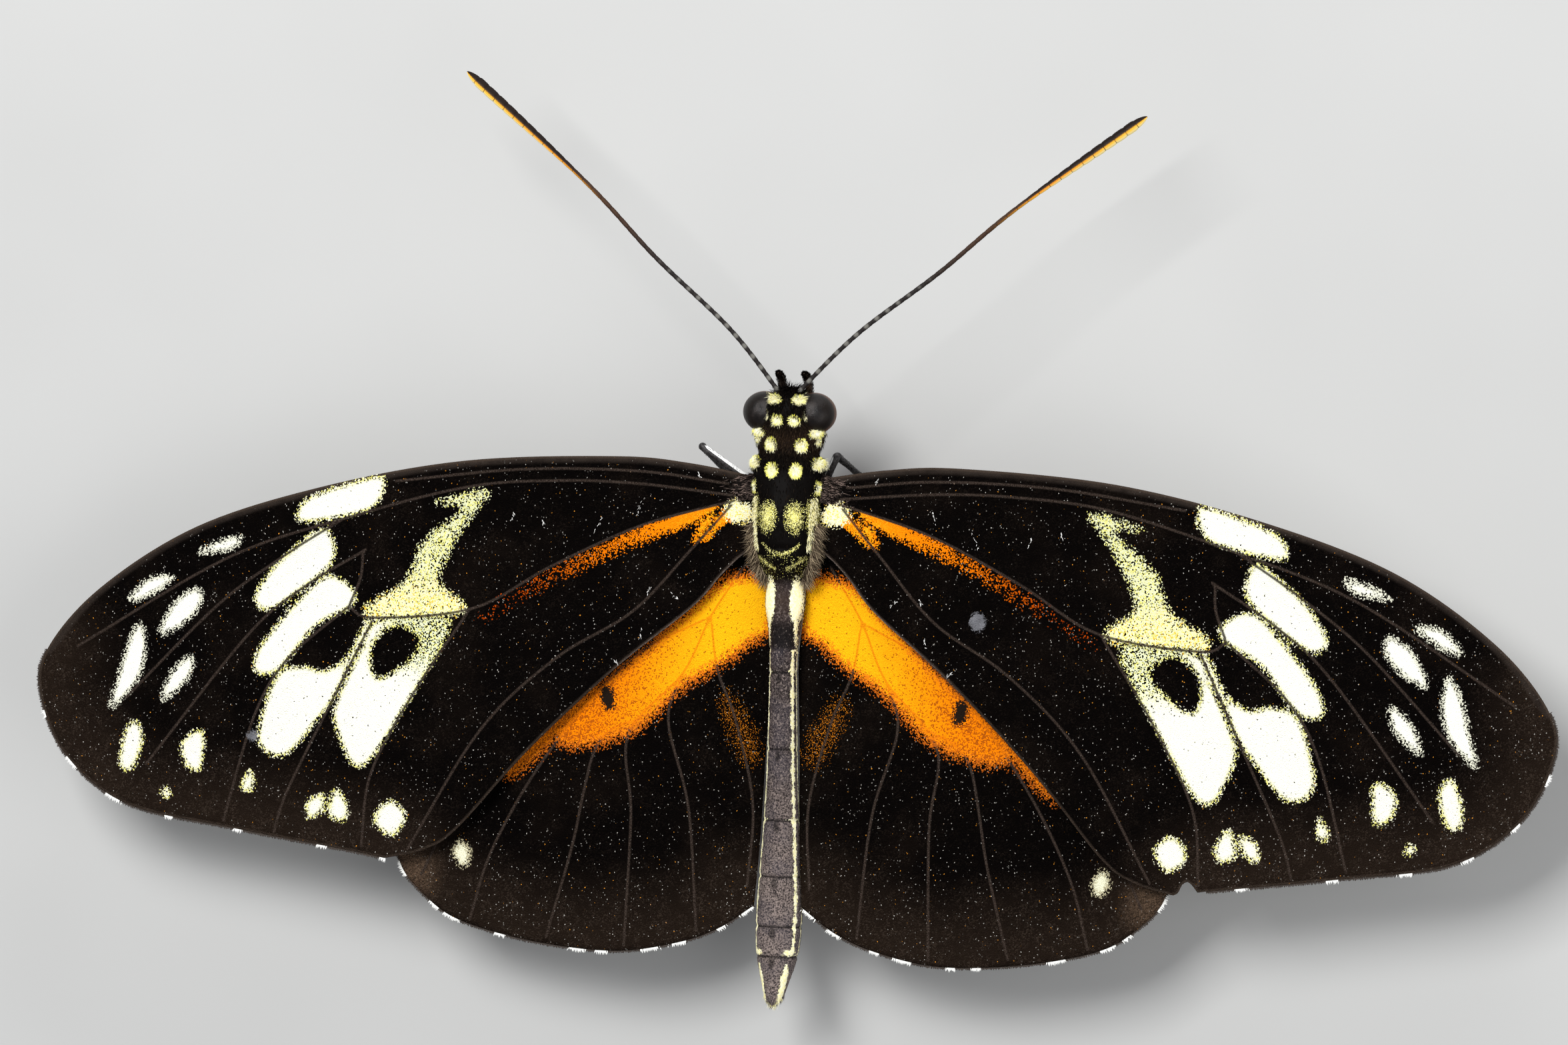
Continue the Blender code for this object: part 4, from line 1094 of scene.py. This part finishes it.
def bristles(name, path, radius, count, length, width, finish, lean, taper):
    """Hairs round a limb, leaning towards its end and shorter there by the taper."""
    at = rng.uniform(0, len(path) - 1.001, count)
    low = at.astype(int)
    part = (at - low)[:, None]
    centre = path[low] * (1 - part) + path[low + 1] * part
    along = unit(path[low + 1] - path[low])
    outward = unit(np.cross(along, spray(count, 1)))
    thick = np.interp(at, np.arange(len(path)), radius)[:, None]
    directions = along + outward * lean + spray(count, 0.15)
    marks = {"shade": rng.random(count), "cream": -1.0, "dust": -1.0}
    marks.update(dict.fromkeys(("abdomen", "blotch", "brown", "rear"), 0.0))
    uv = np.column_stack([np.arctan2(outward[:, 0], outward[:, 2]) / tau % 1 * 0.98, at / len(path) * 0.98])
    lengths = length * rng.uniform(0.6, 1.15, count) * (1 - taper * (at / len(path)) ** 2)
    made = hairs(name, centre + outward * thick * 0.9, directions, outward, lengths, width, finish, marks, uv)


def add_mouth():
    finish = bpy.data.materials["body_coat"]
    horn = horn_finish()
    for side, mirror in SIDES:
        line = even_steps(smooth_curve(PALP_PATH, 10), 0.06) * [mirror, 1, 1]
        run = np.linspace(0, 1, len(line))
        radius = 0.2 + 0.04 * np.sin(run * pi) - 0.1 * run ** 2
        radius *= np.sqrt(np.clip((1 - run) / 0.08, 0.03, 1))
        made = add_tube("palp_core_" + side, line, radius, 14, horn, {})
        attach(made, "root")
        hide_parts("palp_" + side)
        bristles("palp_hair_" + side, line, radius, 1300, 0.27, 0.03, finish, 0.6, 0.2)
    turns = np.linspace(0, 1, 150)
    radius = 0.82 + (0.16 - 0.82) * turns
    angle = pi / 2 - tau * 1.75 * turns
    centre = np.column_stack([np.zeros(150), radius * np.cos(angle), radius * np.sin(angle)])
    lead = np.array([[0.0, -0.25, 1.25], [0.0, -0.16, 1.05]])
    centre = np.vstack([lead, centre]) + COIL_CENTRE
    run = np.linspace(0, 1, len(centre))
    thick = (0.15 - 0.07 * run) * (1 + 0.05 * np.sin(run * 420))
    side_way = np.array([1.0, 0.0, 0.0])
    upward = np.cross(unit(np.gradient(centre, axis=0)), side_way)
    around = (tau * np.arange(12) / 12)[None, :, None]
    ring = np.cos(around) * side_way + np.sin(around) * upward[:, None]
    points = centre[:, None] + thick[:, None, None] * ring
    made = add_mesh("feeding_tube", points.reshape(-1, 3), ring_faces(len(centre), 12), horn, {})
    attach(made, "root")
    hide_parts("proboscis")


def leg_line(leg, mirror):
    """Hip, knee and ankle, then the jointed foot along the floor."""
    hip, knee, ankle, toe = np.array(leg)
    heel = ankle + (toe - ankle) * 0.16
    heel[2] = TARSUS_RADIUS
    base = hip + np.array([-0.25, 0.0, 0.9])
    elbow = hip + (knee - hip) * 0.14 - [0, 0, 0.2]
    lift = np.array([0, 0, 0.16])
    corners = [base, hip, elbow, hip + (knee - hip) * 0.55 + lift, knee + (hip - knee) * 0.08 + lift, knee,
               knee + (ankle - knee) * 0.1, knee + (ankle - knee) * 0.55, ankle,
               heel + (ankle - heel) * 0.25, heel, heel + (toe - heel) * 0.5, toe]
    line = even_steps(smooth_curve(corners, 10), 0.06)
    line[:, 2] = np.maximum(line[:, 2], TARSUS_RADIUS)
    line[:, 0] *= mirror
    return line


def add_legs():
    finish = leg_finish()
    hair = bpy.data.materials["body_coat"]
    sides = 14
    for kind, legs in (("mid_leg_", MID_LEGS), ("hind_leg_", HIND_LEGS)):
        for side, mirror in SIDES:
            line = leg_line(legs[side], mirror)
            run = np.concatenate([[0], np.cumsum(np.linalg.norm(np.diff(line, axis=0), axis=1))])
            total = run[-1]
            joints = np.array(legs[side][1:3]) * [mirror, 1, 1]
            knee_at, ankle_at = (run[np.argmin(np.linalg.norm(line - joint, axis=1))] for joint in joints)
            stops = [0, 1.2, knee_at - 0.5, knee_at, knee_at + 1.5, ankle_at - 0.3, ankle_at, ankle_at + 0.4,
                     total]
            radius = np.interp(run, stops, [0.34, 0.3, 0.23, 0.24, 0.19, 0.2, 0.21, 0.16, 0.13])
            step = (run - ankle_at) / (total - ankle_at) * 5
            waist = 1 - 0.16 * np.exp(-(np.abs(step - np.round(step)) / 0.1) ** 2)
            radius *= np.where(run > ankle_at, waist, 1)
            radius *= np.sqrt(np.clip((total - run) / 0.1, 0.05, 1))
            angle = np.tile(ring_angles(sides), len(line))
            femur = np.clip((knee_at - run) / 0.5, 0, 1) * np.clip((run - 1.5) / 0.5, 0, 1)
            edge = np.cos(angle + mirror * radians(62))
            pale = np.repeat(femur, sides) * np.clip((edge - 0.6) / 0.25, 0, 1)
            made = add_tube(kind + "shell_" + side, line, radius, sides, finish, {"pale": pale})
            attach(made, "root")
            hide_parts(kind + side)
            bristles(kind + "hair_" + side, line, radius, 900, 0.16, 0.03, hair, 0.25, 0.0)
            add_claws(kind + "claws_" + side, line, finish)
    for side, mirror in SIDES:
        line = even_steps(smooth_curve(FORE_LEG, 10), 0.06) * [mirror, 1, 1]
        radius = 0.2 * np.sqrt(np.clip((1 - np.linspace(0, 1, len(line))) / 0.06, 0.05, 1))
        made = add_tube("fore_leg_shell_" + side, line, radius, sides, finish, {"pale": 0.0})
        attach(made, "root")
        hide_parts("fore_leg_" + side)
        bristles("fore_leg_hair_" + side, line, radius, 700, 0.32, 0.04, hair, 0.5, 0.0)


def add_claws(name, line, finish):
    """A pair of small hooked claws at the foot's end."""
    tip = line[-3]
    along = line[-3] - line[-12]
    along[2] = 0
    along /= np.linalg.norm(along)
    across = np.array([-along[1], along[0], 0])
    points = []
    faces = []
    for way in (-1, 1):
        t = np.linspace(0, 1, 8)[:, None]
        path = tip + along * 0.42 * t + across * way * (0.05 + 0.16 * t)
        path[:, 2] += 0.06 - 0.14 * t[:, 0]
        ring = tube_points(path, np.linspace(0.05, 0.012, 8), 8)
        faces += [[corner + len(points) * 64 for corner in face] for face in ring_faces(8, 8)]
        points.append(ring)
    made = add_mesh(name, np.vstack(points), faces, finish, {"pale": 0.0})
    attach(made, "root")


# Surroundings

def add_floor():
    reach = 600.0
    points = [(-reach, -reach, 0), (reach, -reach, 0), (reach, reach, 0), (-reach, reach, 0)]
    finish = Finish("pale_floor", 0.8, 0.2)
    grey = finish.mix(finish.noise(0.05, 2.0), (0.45, 0.45, 0.44), (0.49, 0.49, 0.48))
    made = add_mesh("floor", points, [[0, 1, 2, 3]], finish.colour(grey), {}, smooth=False)


def add_light(name, place, size, power):
    lamp = bpy.data.lights.new(name, "AREA")
    lamp.size = size * MM
    lamp.energy = power
    made = bpy.data.objects.new(name, lamp)
    made.location = Vector(place) * MM
    made.rotation_euler = (Vector(LAMP_TARGET) - Vector(place)).to_track_quat("-Z", "Y").to_euler()
    bpy.context.collection.objects.link(made)


def add_camera():
    towards = np.array([sin(CAMERA_TILT), 0, cos(CAMERA_TILT)])
    level = np.array([cos(CAMERA_TILT), 0, -sin(CAMERA_TILT)])
    ahead = np.array([0.0, 1.0, 0.0])
    right = cos(CAMERA_ROLL) * level + sin(CAMERA_ROLL) * ahead
    up = -sin(CAMERA_ROLL) * level + cos(CAMERA_ROLL) * ahead
    place = (np.array(CAMERA_TARGET) + ORIGIN_SHIFT + CAMERA_DISTANCE * towards) * MM
    camera = bpy.data.cameras.new("camera")
    camera.sensor_width = SENSOR_WIDTH
    camera.lens = FOCAL_PIXELS / PHOTO_SIZE[0] * SENSOR_WIDTH
    camera.clip_start = 0.01
    made = bpy.data.objects.new("camera", camera)
    made.matrix_world = Matrix([[right[i], up[i], towards[i], place[i]] for i in range(3)] + [[0, 0, 0, 1]])
    bpy.context.collection.objects.link(made)
    bpy.context.scene.camera = made


def add_surroundings():
    add_floor()
    for name, (place, size, power) in LAMPS.items():
        add_light(name, place, size, power)
    world = bpy.data.worlds.new("world")
    world.use_nodes = True
    world.node_tree.nodes["Background"].inputs[0].default_value = SKY_COLOUR
    world.node_tree.nodes["Background"].inputs[1].default_value = SKY_STRENGTH
    bpy.context.scene.world = world
    bpy.context.scene.view_settings.view_transform = "Standard"
    add_camera()


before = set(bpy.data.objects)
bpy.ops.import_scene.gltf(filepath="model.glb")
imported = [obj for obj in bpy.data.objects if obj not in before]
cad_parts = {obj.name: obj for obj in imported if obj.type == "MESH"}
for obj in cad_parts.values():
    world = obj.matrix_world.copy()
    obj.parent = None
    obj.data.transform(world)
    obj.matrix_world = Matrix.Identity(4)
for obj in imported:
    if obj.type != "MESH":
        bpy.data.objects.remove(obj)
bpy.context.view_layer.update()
add_skin()
add_coats()
add_side_hair()
add_eyes()
add_mouth()
add_feelers()
add_legs()
add_wings()
add_surroundings()
